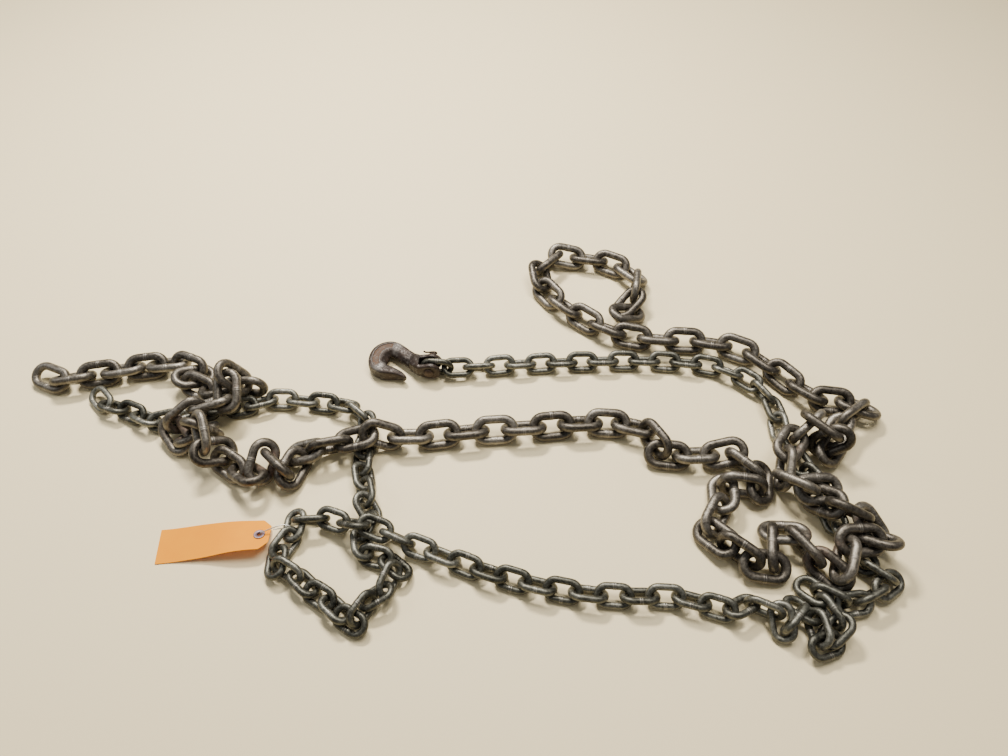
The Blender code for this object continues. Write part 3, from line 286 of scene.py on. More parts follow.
class Heap:
    """Poses of all the links of both chains, eased until no two wires overlap."""

    def __init__(self):
        self.chain = []
        poses = []
        for chain, route in ((LARGE, LARGE_ROUTE), (SMALL, SMALL_ROUTE)):
            rows = one_row_per_link(route)
            poses.append(traced_poses(rows))
            self.chain += [chain] * len(rows)
        self.large_count = len(poses[0][0])
        self.count = len(self.chain)
        self.centre, self.along, self.across = (np.concatenate(part) for part in zip(*poses))
        self.wire = np.array([chain.wire for chain in self.chain])
        self.pitch = np.array([chain.pitch for chain in self.chain])
        self.inside = np.array([chain.inside_width for chain in self.chain])
        self.outline = np.array([wire_outline(c.pitch, c.inside_width, c.wire) for c in self.chain])
        self.turn_ease = (0.30 * (self.pitch + 2 * self.wire)) ** 2
        self.joined = np.array([i for i in range(self.count - 1) if i != self.large_count - 1])
        self.hook_link = self.large_count
        self.centre[:self.large_count, 2] += START_LIFT
        self.route = (self.centre.copy(), self.along.copy(), self.across.copy())

    def wire_points(self):
        return (self.centre[:, None] + self.along[:, None] * self.outline[..., 0:1]
                + self.across[:, None] * self.outline[..., 1:2])

    def turn(self, rotation):
        size = length(rotation)[:, None]
        rotation = rotation * np.minimum(1, 0.1 / np.maximum(size, 1e-9))
        self.along = unit(self.along + cross(rotation, self.along))
        across = self.across + cross(rotation, self.across)
        self.across = unit(across - self.along * dot(across, self.along)[:, None])

    def push(self, pushes, strength):
        """Moves and turns the links for a list of (links, points on them, moves wanted there)."""
        move = np.zeros((self.count, 3))
        rotation = np.zeros((self.count, 3))
        number = np.zeros(self.count)
        for link, point, wanted in pushes:
            np.add.at(move, link, wanted)
            lever = cross(point - self.centre[link], wanted)
            np.add.at(rotation, link, lever / self.turn_ease[link][:, None])
            np.add.at(number, link, 1)
        share = strength / np.sqrt(np.maximum(1, number))[:, None]
        self.centre = self.centre + move * share
        self.turn(rotation * share)
        for mine, traced in zip((self.centre, self.along, self.across), self.route):
            mine[self.hook_link] = traced[self.hook_link]

    def yielding(self, link, point, direction):
        lever = cross(point - self.centre[link], direction)
        return 1 + dot(lever, lever) / self.turn_ease[link]

    def near_pairs(self):
        reach = self.pitch / 2 + self.wire
        gap = self.centre[:, None] - self.centre[None]
        limit = (reach[:, None] + reach[None] + WIRE_GAP) ** 2
        return np.nonzero(np.triu(dot(gap, gap) < limit, 1))

    def contacts(self, first, second):
        """Closest points of the wires of each pair, and their distance."""
        start = self.wire_points()
        end = np.roll(start, -1, axis=1)
        a, b = closest_points(start[first][:, :, None], end[first][:, :, None],
                              start[second][:, None], end[second][:, None])
        distance = length(a - b).reshape(len(first), -1)
        best = distance.argmin(1)
        row = np.arange(len(first))
        a = a.reshape(len(first), -1, 3)[row, best]
        b = b.reshape(len(first), -1, 3)[row, best]
        return a, b, distance[row, best]

    def passes_through(self, first, second, inset=0.0):
        """Whether each first link's wire passes through the second link's opening."""
        start = self.wire_points()[first]
        end = np.roll(start, -1, axis=1)
        middle = self.centre[second][:, None]
        normal = cross(self.along, self.across)[second][:, None]
        above, below = dot(start - middle, normal), dot(end - middle, normal)
        crosses = (above < 0) != (below < 0)
        share = np.where(crosses, above / np.where(crosses, above - below, 1), 0)
        point = start + (end - start) * share[..., None] - middle
        straight = ((self.pitch - self.inside) / 2)[second][:, None]
        radius = ((self.inside + self.wire) / 2)[second][:, None] - inset
        u = np.maximum(np.abs(dot(point, self.along[second][:, None])) - straight, 0)
        v = dot(point, self.across[second][:, None])
        inside = crosses & (u * u + v * v < radius ** 2)
        return (inside * np.where(below > above, 1, -1)).sum(1) != 0

    def thread_neighbours(self):
        """Draws neighbours into each other's openings, and says how many aren't threaded yet."""
        a, b = self.joined, self.joined + 1
        threaded = self.passes_through(a, b, 2.5) & self.passes_through(a, b)
        threaded &= self.passes_through(a, b, -1.0)
        a, b = a[~threaded], b[~threaded]
        if not len(a):
            return 0
        normal = cross(self.along, self.across)
        first = np.abs(dot(self.across[a], self.along[b])) < np.abs(dot(self.across[b], self.along[a]))
        first = first[:, None]
        outer = ((self.pitch + self.wire) / 2)[:, None]
        inner = ((self.pitch - self.wire) / 2 - 1)[:, None]
        end_a = self.centre[a] + self.along[a] * np.where(first, outer[a], inner[a])
        end_b = self.centre[b] - self.along[b] * np.where(first, inner[b], outer[b])
        pull = (end_b - end_a) * 0.3
        self.push([(a, end_a, pull), (b, end_b, -pull)], 0.5)
        passing = np.where(first, self.across[a], normal[a])
        opening = np.where(first, normal[b], self.across[b])
        rotation = np.zeros((self.count, 3))
        twist = cross(opening, passing) * np.sign(dot(opening, passing))[:, None] * 0.1
        np.add.at(rotation, b, twist)
        np.add.at(rotation, a, -twist)
        self.turn(rotation)
        return len(a)

    def free_strangers(self):
        """Parts links that aren't neighbours but are threaded, and says how many there are."""
        a, b = self.near_pairs()
        strangers = ~((b == a + 1) & (a != self.large_count - 1))
        a, b = a[strangers], b[strangers]
        threaded = self.passes_through(a, b, -1.0) | self.passes_through(a, b)
        a, b = a[threaded], b[threaded]
        if len(a):
            part = unit(self.centre[a] - self.centre[b])
            part[:, 2] += np.where(part[:, 2] >= 0, 1.0, -1.0)
            np.add.at(self.centre, a, part * 0.3)
            np.add.at(self.centre, b, -part * 0.3)
        return len(a)

    def follow_route(self, hold, hold_turn):
        centre, along, across = self.route
        self.centre[:, :2] += (centre - self.centre)[:, :2] * hold
        twist = (cross(self.along, along) * np.sign(dot(self.along, along))[:, None]
                 + cross(self.across, across) * np.sign(dot(self.across, across))[:, None])
        self.turn(twist * hold_turn)

    def separate(self, size, draw):
        """Pushes that keep the wires apart, and that draw loose neighbours together."""
        a, b = self.near_pairs()
        point_a, point_b, distance = self.contacts(a, b)
        overlap = (self.wire[a] + self.wire[b]) / 2 * size + WIRE_GAP - distance
        neighbours = (b == a + 1) & (a != self.large_count - 1)
        overlap = np.where((overlap < 0) & neighbours, np.maximum(overlap, -1.0) * draw, overlap)
        kept = (overlap > 0) | (neighbours & (overlap < 0))
        a, b, point_a, point_b = a[kept], b[kept], point_a[kept], point_b[kept]
        away = unit(point_a - point_b)
        give = self.yielding(a, point_a, away) + self.yielding(b, point_b, away)
        wanted = away * (overlap[kept] / give)[:, None]
        return [(a, point_a, wanted), (b, point_b, -wanted)]

    def hold_taut(self):
        """Pushes that keep neighbours within reach of each other."""
        a, b = self.joined, self.joined + 1
        straight = ((self.pitch - self.inside) / 2)[:, None]
        end_a = self.centre[a] + self.along[a] * straight[a]
        end_b = self.centre[b] - self.along[b] * straight[b]
        excess = length(end_b - end_a) - (self.inside[a] - WIRE_GAP)
        kept = excess > 0
        a, b, end_a, end_b = a[kept], b[kept], end_a[kept], end_b[kept]
        away = unit(end_b - end_a)
        give = self.yielding(a, end_a, away) + self.yielding(b, end_b, away)
        wanted = away * (excess[kept] / give)[:, None]
        return [(a, end_a, wanted), (b, end_b, -wanted)]

    def stay_above_floor(self):
        points = self.wire_points()
        height = points[..., 2] - self.wire[:, None] / 2 * WIRE_SECTION_GROWTH
        lowest = height.argmin(1)
        row = np.arange(self.count)
        link = row[height[row, lowest] < 0]
        point = points[link, lowest[link]]
        lift = -height[link, lowest[link]] / self.yielding(link, point, UP[None])
        return [(link, point, UP[None] * lift[:, None])]

    def ease(self):
        clean = 0
        for step in range(THREADING_STEPS):
            loose = self.thread_neighbours() + self.free_strangers()
            self.follow_route(0.04 if step < CLOSE_STEPS else 0.01, 0.02 if step < TURNING_STEPS else 0)
            self.push(self.hold_taut(), 1.0)
            clean = clean + 1 if loose == 0 else 0
            if clean > 5:
                break
        for step in range(THICKENING_STEPS):
            self.follow_route(0.04, 0.01)
            self.push(self.separate(min(1.0, 0.1 + step / 150), 0.0), 0.8)
        self.centre[:, 2] += LARGE_WIRE
        for step in range(LOWERING_STEPS):
            self.centre[:, 2] -= 0.2 if step < LOWERING_STEPS - SLOW_STEPS else 0.1
            self.follow_route(0.02, 0.005)
            self.push(self.separate(1.0, 0.1) + self.stay_above_floor(), 1.0)
        for step in range(SETTLING_STEPS):
            draw = 0.1 if step < SETTLING_STEPS // 2 else 0.0
            self.push(self.separate(1.0, draw) + self.stay_above_floor(), 1.0)


# Round links: the wire's facets, the steps of each bend, and the weld across one straight side.
WIRE_FACETS = 16
BEND_STEPS = 12
LINK_FULLNESS = 0.12
WELD_STATIONS = (-3.4, -2.2, -1.6, -1.1, -0.6, 0.0, 0.6, 1.1, 1.6, 2.2, 3.4)
WELD_HEIGHT = 0.28
STRAIGHT_STEPS = 8


def weld_swell(u):
    """Height of the weld's two ridges at a distance along the side from its middle."""
    ridges = math.exp(-((abs(u) - 1.1) / 0.45) ** 2)
    return WELD_HEIGHT * (ridges + 0.45 * math.exp(-(u / 1.3) ** 2))


def link_stations(pitch, inside_width, wire):
    """Rows of (u, v, outward u, outward v, swell, weld, bend) round a link's centre line."""
    straight = (pitch - inside_width) / 2
    radius = (inside_width + wire) / 2
    rows = []
    for end in (1, -1):
        for angle in np.linspace(-math.pi / 2, math.pi / 2, BEND_STEPS + 1):
            out_u, out_v = math.cos(angle) * end, math.sin(angle) * end
            bend = abs(math.cos(angle))
            rows.append((straight * end + radius * out_u, radius * out_v, out_u, out_v, 0.0, 0.0, bend))
        if end == 1:
            places = [u for u in reversed(WELD_STATIONS) if abs(u) < straight - 0.5]
        else:
            places = list(np.linspace(-straight, straight, STRAIGHT_STEPS + 1)[1:-1])
        for u in places:
            welded = end == 1
            swell = weld_swell(u) if welded else 0.0
            mark = math.exp(-((abs(u) - 1.1) / 0.55) ** 2) if welded else 0.0
            rows.append((u, radius * end, 0.0, float(end), swell, mark, 0.0))
    return rows


def round_link(heap, i, side, floor):
    """Places of one link's wire, with its weld marks and bend marks; side turns the weld over."""
    rows = np.array(link_stations(heap.pitch[i], heap.inside[i], heap.wire[i]))
    normal = cross(heap.along[i], heap.across[i])
    across = heap.across[i] * side
    centre = heap.centre[i] + heap.along[i] * rows[:, 0:1] + across * rows[:, 1:2]
    outward = heap.along[i] * rows[:, 2:3] + across * rows[:, 3:4]
    angle = np.linspace(0, 2 * math.pi, WIRE_FACETS, endpoint=False)
    radius = (heap.wire[i] / 2 + LINK_FULLNESS + rows[:, 4])[:, None, None]
    around = outward[:, None] * np.cos(angle)[None, :, None] + normal * np.sin(angle)[None, :, None]
    places = (centre[:, None] + radius * around).reshape(-1, 3)
    places[:, 2] = np.maximum(places[:, 2], floor)
    inner = np.clip(-np.cos(angle), 0, 1)[None] * rows[:, 6:7]
    return places, np.repeat(rows[:, 5], WIRE_FACETS), inner.ravel()


def ring_faces(rings, sides, closed):
    faces = []
    for ring in range(rings if closed else rings - 1):
        after = (ring + 1) % rings
        for side in range(sides):
            turn = (side + 1) % sides
            near, far = ring * sides, after * sides
            faces.append((near + side, far + side, far + turn, near + turn))
    if not closed:
        faces.append(tuple(reversed(range(sides))))
        faces.append(tuple((rings - 1) * sides + side for side in range(sides)))
    return faces


def to_metres(places, origin):
    return (np.asarray(places, float) - origin) * METRES_PER_UNIT


def make_object(name, places, faces, marks=()):
    """An object of smooth faces turned outward, with its marks kept as point attributes."""
    mesh = bpy.data.meshes.new(name)
    mesh.from_pydata([tuple(place) for place in places], [], faces)
    tool = bmesh.new()
    tool.from_mesh(mesh)
    bmesh.ops.recalc_face_normals(tool, faces=tool.faces)
    tool.to_mesh(mesh)
    tool.free()
    for mark, values in marks:
        layer = mesh.attributes.new(mark, "FLOAT", "POINT")
        layer.data.foreach_set("value", np.asarray(values, np.float32))
    mesh.shade_smooth()
    made = bpy.data.objects.new(name, mesh)
    bpy.context.scene.collection.objects.link(made)
    return made


def dress(made, nodes, look):
    """Lets a piece stand for its solids, with the record's slot and its own material."""
    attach(made, "root")
    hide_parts(*nodes)
    made.data.materials.clear()
    made.data.materials.append(look)


def make_runs(heap, origin, looks, rng):
    """The round links, in the same runs as the solids."""
    first = 0
    for chain, count in ((LARGE, heap.large_count), (SMALL, heap.count - heap.large_count)):
        for number, links in enumerate(np.array_split(np.arange(first, first + count), chain.runs), 1):
            node = f"{chain.name}_run_{number:02d}"
            places, faces, weld, bend, tone = [], [], [], [], []
            for i in links:
                spots, weld_mark, bend_mark = round_link(heap, i, rng.choice((-1, 1)), origin[2])
                start = sum(len(part) for part in places)
                rings = len(spots) // WIRE_FACETS
                link_faces = ring_faces(rings, WIRE_FACETS, closed=True)
                faces += [tuple(start + k for k in face) for face in link_faces]
                places.append(spots)
                weld.append(weld_mark)
                bend.append(bend_mark)
                tone.append(np.full(len(spots), rng.uniform(0, 1)))
            marks = [("weld", np.concatenate(weld)), ("bend", np.concatenate(bend)),
                     ("tone", np.concatenate(tone))]
            made = make_object(f"{node}_links", to_metres(np.concatenate(places), origin), faces, marks)
            dress(made, [node], looks[chain.name])
        first += count


def smooth_line(points, steps):
    """Points on a smooth curve through the given rows, which may hold sizes as well."""
    points = [np.array(point, float) for point in points]
    line = []
    for i in range(len(points) - 1):
        before = points[max(i - 1, 0)]
        after = points[min(i + 2, len(points) - 1)]
        for j in range(steps):
            t = j / steps
            line.append(0.5 * (2 * points[i] + (points[i + 1] - before) * t
                               + (2 * before - 5 * points[i] + 4 * points[i + 1] - after) * t**2
                               + (3 * points[i] - before - 3 * points[i + 1] + after) * t**3))
    line.append(points[-1])
    return line


def tube(line, radii, sides):
    """A round rod along a line of points, with a radius for each point."""
    line = np.array(line, float)
    tangents = unit(np.gradient(line, axis=0))
    side = unit(cross(tangents[0], UP if abs(tangents[0][2]) < 0.9 else np.array([1.0, 0.0, 0.0])))
    places = []
    for point, tangent, radius in zip(line, tangents, radii):
        side = unit(side - tangent * dot(side, tangent))
        up = cross(tangent, side)
        for k in range(sides):
            angle = 2 * math.pi * k / sides
            places.append(point + radius * (side * math.cos(angle) + up * math.sin(angle)))
    return places, ring_faces(len(line), sides, closed=False)


def turned(profile, place, axis, sides):
    """Places of a turned shape from rows of (distance along the axis, radius)."""
    axis = np.array(axis, float)
    side = unit(cross(axis, np.array([0.3, 0.5, 1.0])))
    up = cross(axis, side)
    places = []
    for along, radius in profile:
        for k in range(sides):
            angle = 2 * math.pi * k / sides
            places.append(place + axis * along + radius * (side * math.cos(angle) + up * math.sin(angle)))
    return places


# Forged hook: the section's roundness, the voxels that melt its parts together, and the bare
# sunken panel on the bow, from one row of the hook's line to another.
HOOK_SECTION_STEPS = 3
HOOK_VOXEL = 0.55
HOOK_MELT_STEPS = 14
EAR_SIDES = 40
PANEL_ROWS = (4.3, 8.4)
PANEL_MIDDLE_SHARE = -0.17
PANEL_HALF_SHARE = 0.35
PANEL_DEPTH = 0.9
PANEL_RIM = 0.28


def hook_section(flat):
    """The bow's section, in shares of its half width (inward) and half thickness (upward)."""
    slope = 0.55 + 0.45 * flat
    corners = [(1, -0.2), (1, 0.2), (slope, 0.7), (flat, 1), (-0.75, 1), (-1, 0.5), (-1, -0.5), (-0.75, -1),
               (flat, -1), (slope, -0.7)]
    return rounded_loop(corners, HOOK_SECTION_STEPS)


def rounded_loop(corners, steps):
    """Points on a smooth closed curve through the given corners."""
    count = len(corners)
    line = smooth_line([corners[k % count] for k in range(-1, count + 2)], steps)
    return line[steps:steps * (count + 1)]


def hook_shell(pin):
    """The bow and shank swept with a rounded section."""
    shape = smooth_line(HOOK_LINE, 6)
    line = np.array([(row[0], row[1], 0.0) for row in shape])
    tangents = unit(np.gradient(line, axis=0))
    base = np.array([pin[0], pin[1], HOOK_CENTRE_HEIGHT])
    places = []
    for point, tangent, row in zip(line, tangents, shape):
        side = cross(UP, tangent)
        section = hook_section(row[4])
        places += [base + point + side * row[2] * a + UP * row[3] * b for a, b in section]
    return places, ring_faces(len(line), len(section), closed=False)


def ear_shell(pin, inner_face, outer_face):
    """One ear of the clevis: a round plate drawn out to the root."""
    root_end, root_height = HOOK_ROOT[-1][0] - 1.0, HOOK_ROOT[-1][4] - 1.0
    outline = [(root_end, root_height)]
    outline += [(CLEVIS_EAR_OFFSET + CLEVIS_EAR_RADIUS * math.cos(a), CLEVIS_EAR_RADIUS * math.sin(a))
                for a in np.radians(np.linspace(120, -120, EAR_SIDES))]
    outline += [(root_end, -root_height)]
    middle = np.array([sum(p[0] for p in outline) / len(outline), 0.0])
    places = []
    for y, share in ((inner_face, 0.97), (inner_face + 0.12 * (outer_face - inner_face), 1.0),
                     (inner_face + 0.7 * (outer_face - inner_face), 1.0), (outer_face, 0.90)):
        for x, z in outline:
            flat = middle + (np.array([x, z]) - middle) * share
            places.append(pin + np.array([flat[0], y, flat[1]]))
    return places, ring_faces(4, len(outline), closed=False)


def root_shell(pin):
    """The block that the two ears spring from, tapering to the shank."""
    corners = ((-1, -0.6), (-0.7, -1), (0.7, -1), (1, -0.6), (1, 0.6), (0.7, 1), (-0.7, 1), (-1, 0.6))
    loop = rounded_loop(corners, HOOK_SECTION_STEPS)
    places = []
    for x, y, z, half_width, half_height in HOOK_ROOT:
        places += [pin + np.array([x, y + half_width * a, z + half_height * b]) for a, b in loop]
    return places, ring_faces(len(HOOK_ROOT), len(loop), closed=False)


def evaluated(made):
    """The object's mesh with its modifiers applied, and the object itself removed."""
    graph = bpy.context.evaluated_depsgraph_get()
    mesh = bpy.data.meshes.new_from_object(made.evaluated_get(graph))
    bpy.data.objects.remove(made)
    return mesh


def melt_together(shells):
    """One skin round several overlapping shells, softened like a forging."""
    places, faces = [], []
    for shell_places, shell_faces in shells:
        faces += [tuple(len(places) + k for k in face) for face in shell_faces]
        places += list(shell_places)
    made = make_object("forging", places, faces)
    remesh = made.modifiers.new("remesh", "REMESH")
    remesh.mode = "VOXEL"
    remesh.voxel_size = HOOK_VOXEL
    soften = made.modifiers.new("soften", "SMOOTH")
    soften.factor = 0.5
    soften.iterations = HOOK_MELT_STEPS
    return evaluated(made)


def step_between(low, high, values):
    t = np.clip((values - low) / (high - low), 0, 1)
    return t * t * (3 - 2 * t)


def sink_panel(places, pin):
    """Sinks the bow's bare panel into the top face and raises a thin rim round it; its marks are the panel,
    and the rim together with a painted highlight at the panel's ends.
    """
    steps = 12
    shape = np.array(smooth_line(HOOK_LINE, steps))
    line = shape[:, :2] + pin[:2]
    tangents = np.gradient(line, axis=0)
    tangents /= np.linalg.norm(tangents, axis=1)[:, None]
    gap = places[:, None, :2] - line[None]
    nearest = (gap ** 2).sum(-1).argmin(1)
    row = nearest / steps
    offset = gap[np.arange(len(places)), nearest]
    t = tangents[nearest]
    side = (offset[:, 1] * t[:, 0] - offset[:, 0] * t[:, 1]) / shape[nearest, 2]
    top = step_between(HOOK_CENTRE_HEIGHT + 3.0, HOOK_CENTRE_HEIGHT + 5.5, places[:, 2])
    ends = np.minimum(row - PANEL_ROWS[0], PANEL_ROWS[1] - row) * 9.0
    inward = np.minimum(ends, (PANEL_HALF_SHARE - np.abs(side - PANEL_MIDDLE_SHARE)) * shape[nearest, 2])
    sunk = step_between(-0.15, 0.75, inward) * top
    rim = np.exp(-((inward + 0.55) / 0.5) ** 2) * top
    places[:, 2] += PANEL_RIM * rim - PANEL_DEPTH * sunk
    # Painted highlight: lighter spots on the top face at both ends of the panel.
    from_ends = np.minimum(np.abs(row - PANEL_ROWS[0] + 0.6), np.abs(row - PANEL_ROWS[1] - 0.3))
    painted_highlight_ends = np.exp(-(from_ends / 0.45) ** 2)
    return sunk, np.maximum(rim, painted_highlight_ends * top)


def drill(made, place, axis, reach, radius, sides):
    """Cuts a round hole through an object, along an axis through a place."""
    profile = ((-reach, radius), (reach, radius))
    cutter = make_object("cutter", turned(profile, place, axis, sides), ring_faces(2, sides, closed=False))
    cut = made.modifiers.new("cut", "BOOLEAN")
    cut.operation = "DIFFERENCE"
    cut.solver = "EXACT"
    cut.object = cutter
    graph = bpy.context.evaluated_depsgraph_get()
    mesh = bpy.data.meshes.new_from_object(made.evaluated_get(graph))
    made.modifiers.clear()
    made.data = mesh
    bpy.data.objects.remove(cutter)


def make_hook(pin, origin, look):
    outer = CLEVIS_GAP / 2 + CLEVIS_EAR_THICKNESS
    ears = [ear_shell(pin, CLEVIS_GAP / 2, outer), ear_shell(pin, -CLEVIS_GAP / 2, -outer)]
    shells = [hook_shell(pin), root_shell(pin)] + ears
    skin = melt_together(shells)
    places = np.array([vertex.co for vertex in skin.vertices])
    # The edge mark holds the panel's rim and a painted highlight at the panel's ends.
    panel, edge = sink_panel(places, pin)
    faces = [tuple(face.vertices) for face in skin.polygons]
    bpy.data.meshes.remove(skin)
    marks = [("panel", panel), ("edge", edge)]
    made = make_object("grab_hook_forging", to_metres(places, origin), faces, marks)
    bore = (PIN_DIAMETER / 2 + PIN_BORE_CLEARANCE) * METRES_PER_UNIT
    drill(made, (pin - origin) * METRES_PER_UNIT, (0, 1, 0), 0.02, bore, 32)
    made.data.shade_smooth()
    made.data.set_sharp_from_angle(angle=math.radians(60))
    dress(made, ["grab_hook"], look)


def make_pin(pin, origin, look):
    """The clevis pin: a low domed head, a round shank and a softened far end."""
    outer = CLEVIS_GAP / 2 + CLEVIS_EAR_THICKNESS
    seat = -outer - PIN_BORE_CLEARANCE
    head, radius, far = PIN_HEAD_DIAMETER / 2, PIN_DIAMETER / 2, outer + PIN_FAR_LENGTH
    rise = PIN_HEAD_THICKNESS
    profile = [(seat - rise, 0.05)]
    profile += [(seat - rise + rise * 0.62 * (t ** 2.6), head * 0.96 * t) for t in np.linspace(0.15, 1, 9)]
    profile += [(seat - rise * 0.22, head), (seat - 0.15, head), (seat, head - 0.2),
                (seat, radius + 0.3), (seat + 0.3, radius)]
    profile += [(far - 1.4, radius), (far - 0.5, radius - 0.3), (far, radius - 1.0), (far, 0.05)]
    places = turned(profile, pin, (0, 1, 0), 40)
    faces = ring_faces(len(profile), 40, closed=False)
    made = make_object("clevis_pin_turned", to_metres(places, origin), faces)
    place = pin + np.array([0.0, outer + COTTER_OFFSET, 0.0])
    hole = (COTTER_DIAMETER / 2 + COTTER_HOLE_CLEARANCE) * METRES_PER_UNIT
    drill(made, (place - origin) * METRES_PER_UNIT, (0, 0, 1), 0.01, hole, 16)
    made.data.shade_smooth()
    made.data.set_sharp_from_angle(angle=math.radians(50))
    dress(made, ["clevis_pin"], look)


def rounded_radii(line, radius):
    """Radii that round off both ends of a rod along a line."""
    line = np.array(line)
    run = np.concatenate([[0], np.cumsum(length(np.diff(line, axis=0)))])
    left = np.minimum(run, run[-1] - run)
    return radius * np.sqrt(np.clip(1 - (1 - np.minimum(left / radius, 1)) ** 2, 0.02, 1))


def make_cotter(pin, origin, look):
    place = pin + np.array([0.0, CLEVIS_GAP / 2 + CLEVIS_EAR_THICKNESS + COTTER_OFFSET, 0.0])
    line = [place + np.array([x, 0.0, z]) for x, z in smooth_line(COTTER_LINE, 8)]
    places, faces = tube(line, rounded_radii(line, COTTER_DIAMETER / 2), 14)
    made = make_object("cotter_pin_wire", to_metres(places, origin), faces)
    dress(made, ["cotter_pin"], look)


# Paper tag: the sheet's real thickness, its cells, and how far it ripples.
PAPER_THICKNESS = 0.45
TAG_CELLS = (60, 20)
TAG_RIPPLE = 0.35

# The card's arch and twist seen in the photograph, laid over the plain curl: rises in the bench's unit.
TAG_ARCH_HEIGHT = 6.0
TAG_END_DROP = 1.0
TAG_TWIST_HEIGHT = 6.0
TAG_SETTLE_LENGTH = 18.0


def tag_height(u):
    """Height of the tag's middle surface, rising to its eyelet end."""
    t = min(max((u / TAG_LENGTH - 0.4) / 0.5, 0.0), 1.0)
    return TAG_FLOOR_GAP + TAG_THICKNESS / 2 + TAG_CURL_HEIGHT * t * t * (3 - 2 * t)


def tag_point(u, v, height):
    """A point of the tag, with u from its plain end and v across it, at a height on the bench."""
    heading = math.radians(TAG_HEADING)
    along = u - TAG_LENGTH / 2
    x = TAG_CENTRE[0] + along * math.cos(heading) - v * math.sin(heading)
    y = TAG_CENTRE[1] + along * math.sin(heading) + v * math.cos(heading)
    return np.array([x, y, height])


def bow_tag(place):
    """A point of the tag or what is tied to it, raised by the card's arch and its lifted front edge."""
    heading = math.radians(TAG_HEADING)
    dx = place[0] - TAG_CENTRE[0]
    dy = place[1] - TAG_CENTRE[1]
    u = dx * math.cos(heading) + dy * math.sin(heading) + TAG_LENGTH / 2
    v = dy * math.cos(heading) - dx * math.sin(heading)
    arch = TAG_ARCH_HEIGHT * step_between(0.05 * TAG_LENGTH, 0.6 * TAG_LENGTH, u)
    arch -= (TAG_ARCH_HEIGHT - TAG_END_DROP) * step_between(0.6 * TAG_LENGTH, TAG_LENGTH, u)
    twist = TAG_TWIST_HEIGHT * step_between(0.35 * TAG_LENGTH, 0.9 * TAG_LENGTH, u)
    share = min(max(-v / (TAG_WIDTH / 2), -1.0), 1.0)
    kept = 1.0 - step_between(TAG_LENGTH, TAG_LENGTH + TAG_SETTLE_LENGTH, u)
    return np.array([place[0], place[1], place[2] + kept * (arch + twist * share)])


def make_tag(origin, look):
    """The paper tag: a thin curled sheet with clipped corners and the eyelet's hole."""
    columns, rows = TAG_CELLS
    places = []
    for side in (1, -1):
        for i in range(columns + 1):
            u = TAG_LENGTH * i / columns
            half = TAG_WIDTH / 2 - max(0.0, u - (TAG_LENGTH - TAG_CLIP))
            for j in range(rows + 1):
                v = half * (2 * j / rows - 1)
                ripple = TAG_RIPPLE * math.sin(u / 17.0 + v / 21.0) * min(1.0, u / 30.0)
                ripple *= max(0.0, 1 - abs(u - 55) / 60)
                height = tag_height(u) + max(ripple, -0.2) + side * PAPER_THICKNESS / 2
                places.append(tag_point(u, v, height))
    sheet = (columns + 1) * (rows + 1)
    faces = []
    for i in range(columns):
        for j in range(rows):
            a = i * (rows + 1) + j
            corner = (a, a + rows + 1, a + rows + 2, a + 1)
            faces += [corner, tuple(sheet + k for k in reversed(corner))]
    edge = [j for j in range(rows + 1)] + [(i + 1) * (rows + 1) - 1 for i in range(1, columns + 1)]
    edge += [columns * (rows + 1) + j for j in reversed(range(rows))]
    edge += [i * (rows + 1) for i in reversed(range(1, columns))]
    for k, a in enumerate(edge):
        b = edge[(k + 1) % len(edge)]
        faces.append((a, b, b + sheet, a + sheet))
    made = make_object("tag_sheet", to_metres([bow_tag(place) for place in places], origin), faces)
    place = tag_point(TAG_LENGTH - EYELET_INSET, 0.0, tag_height(TAG_LENGTH - EYELET_INSET))
    hole = (EYELET_BARREL_RADIUS + 0.1) * METRES_PER_UNIT
    drill(made, (bow_tag(place) - origin) * METRES_PER_UNIT, (0, 0, 1), 0.004, hole, 32)
    made.data.shade_smooth()
    made.data.set_sharp_from_angle(angle=math.radians(40))
    dress(made, ["tag"], look)
    return place


def make_eyelet(place, origin, look):
    """The eyelet: a barrel with a rolled flange on either face of the tag."""
    inner = TAG_THICKNESS / 2 + EYELET_GAP - 0.35
    outer = TAG_THICKNESS / 2 + EYELET_GAP + EYELET_FLANGE_THICKNESS
    mid = (inner + outer) / 2
    rim = (outer - inner) / 2
    profile = [(-mid, EYELET_BORE_RADIUS), (-outer, EYELET_BORE_RADIUS + rim)]
    profile += [(-mid - rim * math.cos(a), EYELET_FLANGE_RADIUS - rim + rim * math.sin(a))
                for a in np.radians(np.linspace(0, 180, 9))]
    profile += [(-inner, EYELET_BARREL_RADIUS), (inner, EYELET_BARREL_RADIUS)]
    profile += [(mid - rim * math.cos(a), EYELET_FLANGE_RADIUS - rim + rim * math.sin(a))
                for a in np.radians(np.linspace(0, 180, 9))]
    profile += [(outer, EYELET_BORE_RADIUS + rim), (mid, EYELET_BORE_RADIUS)]
    places = turned(profile, place, (0, 0, 1), 40)
    bowed = to_metres([bow_tag(point) for point in places], origin)
    made = make_object("tag_eyelet_rolled", bowed, ring_faces(len(profile), 40, closed=True))
    made.data.set_sharp_from_angle(angle=math.radians(60))
    dress(made, ["tag_eyelet"], look)


def make_tag_wire(origin, look):
    """The tie wire: one round wire on its route, raised with the card near the eyelet."""
    line = to_metres([bow_tag(point) for point in smooth_line(TAG_WIRE_LINE, 4)], origin)
    places, faces = tube(line, np.full(len(line), TAG_WIRE_DIAMETER / 2 * METRES_PER_UNIT), 10)
    made = make_object("tag_tie_wire", places, faces)
    dress(made, ["tag_wire"], look)


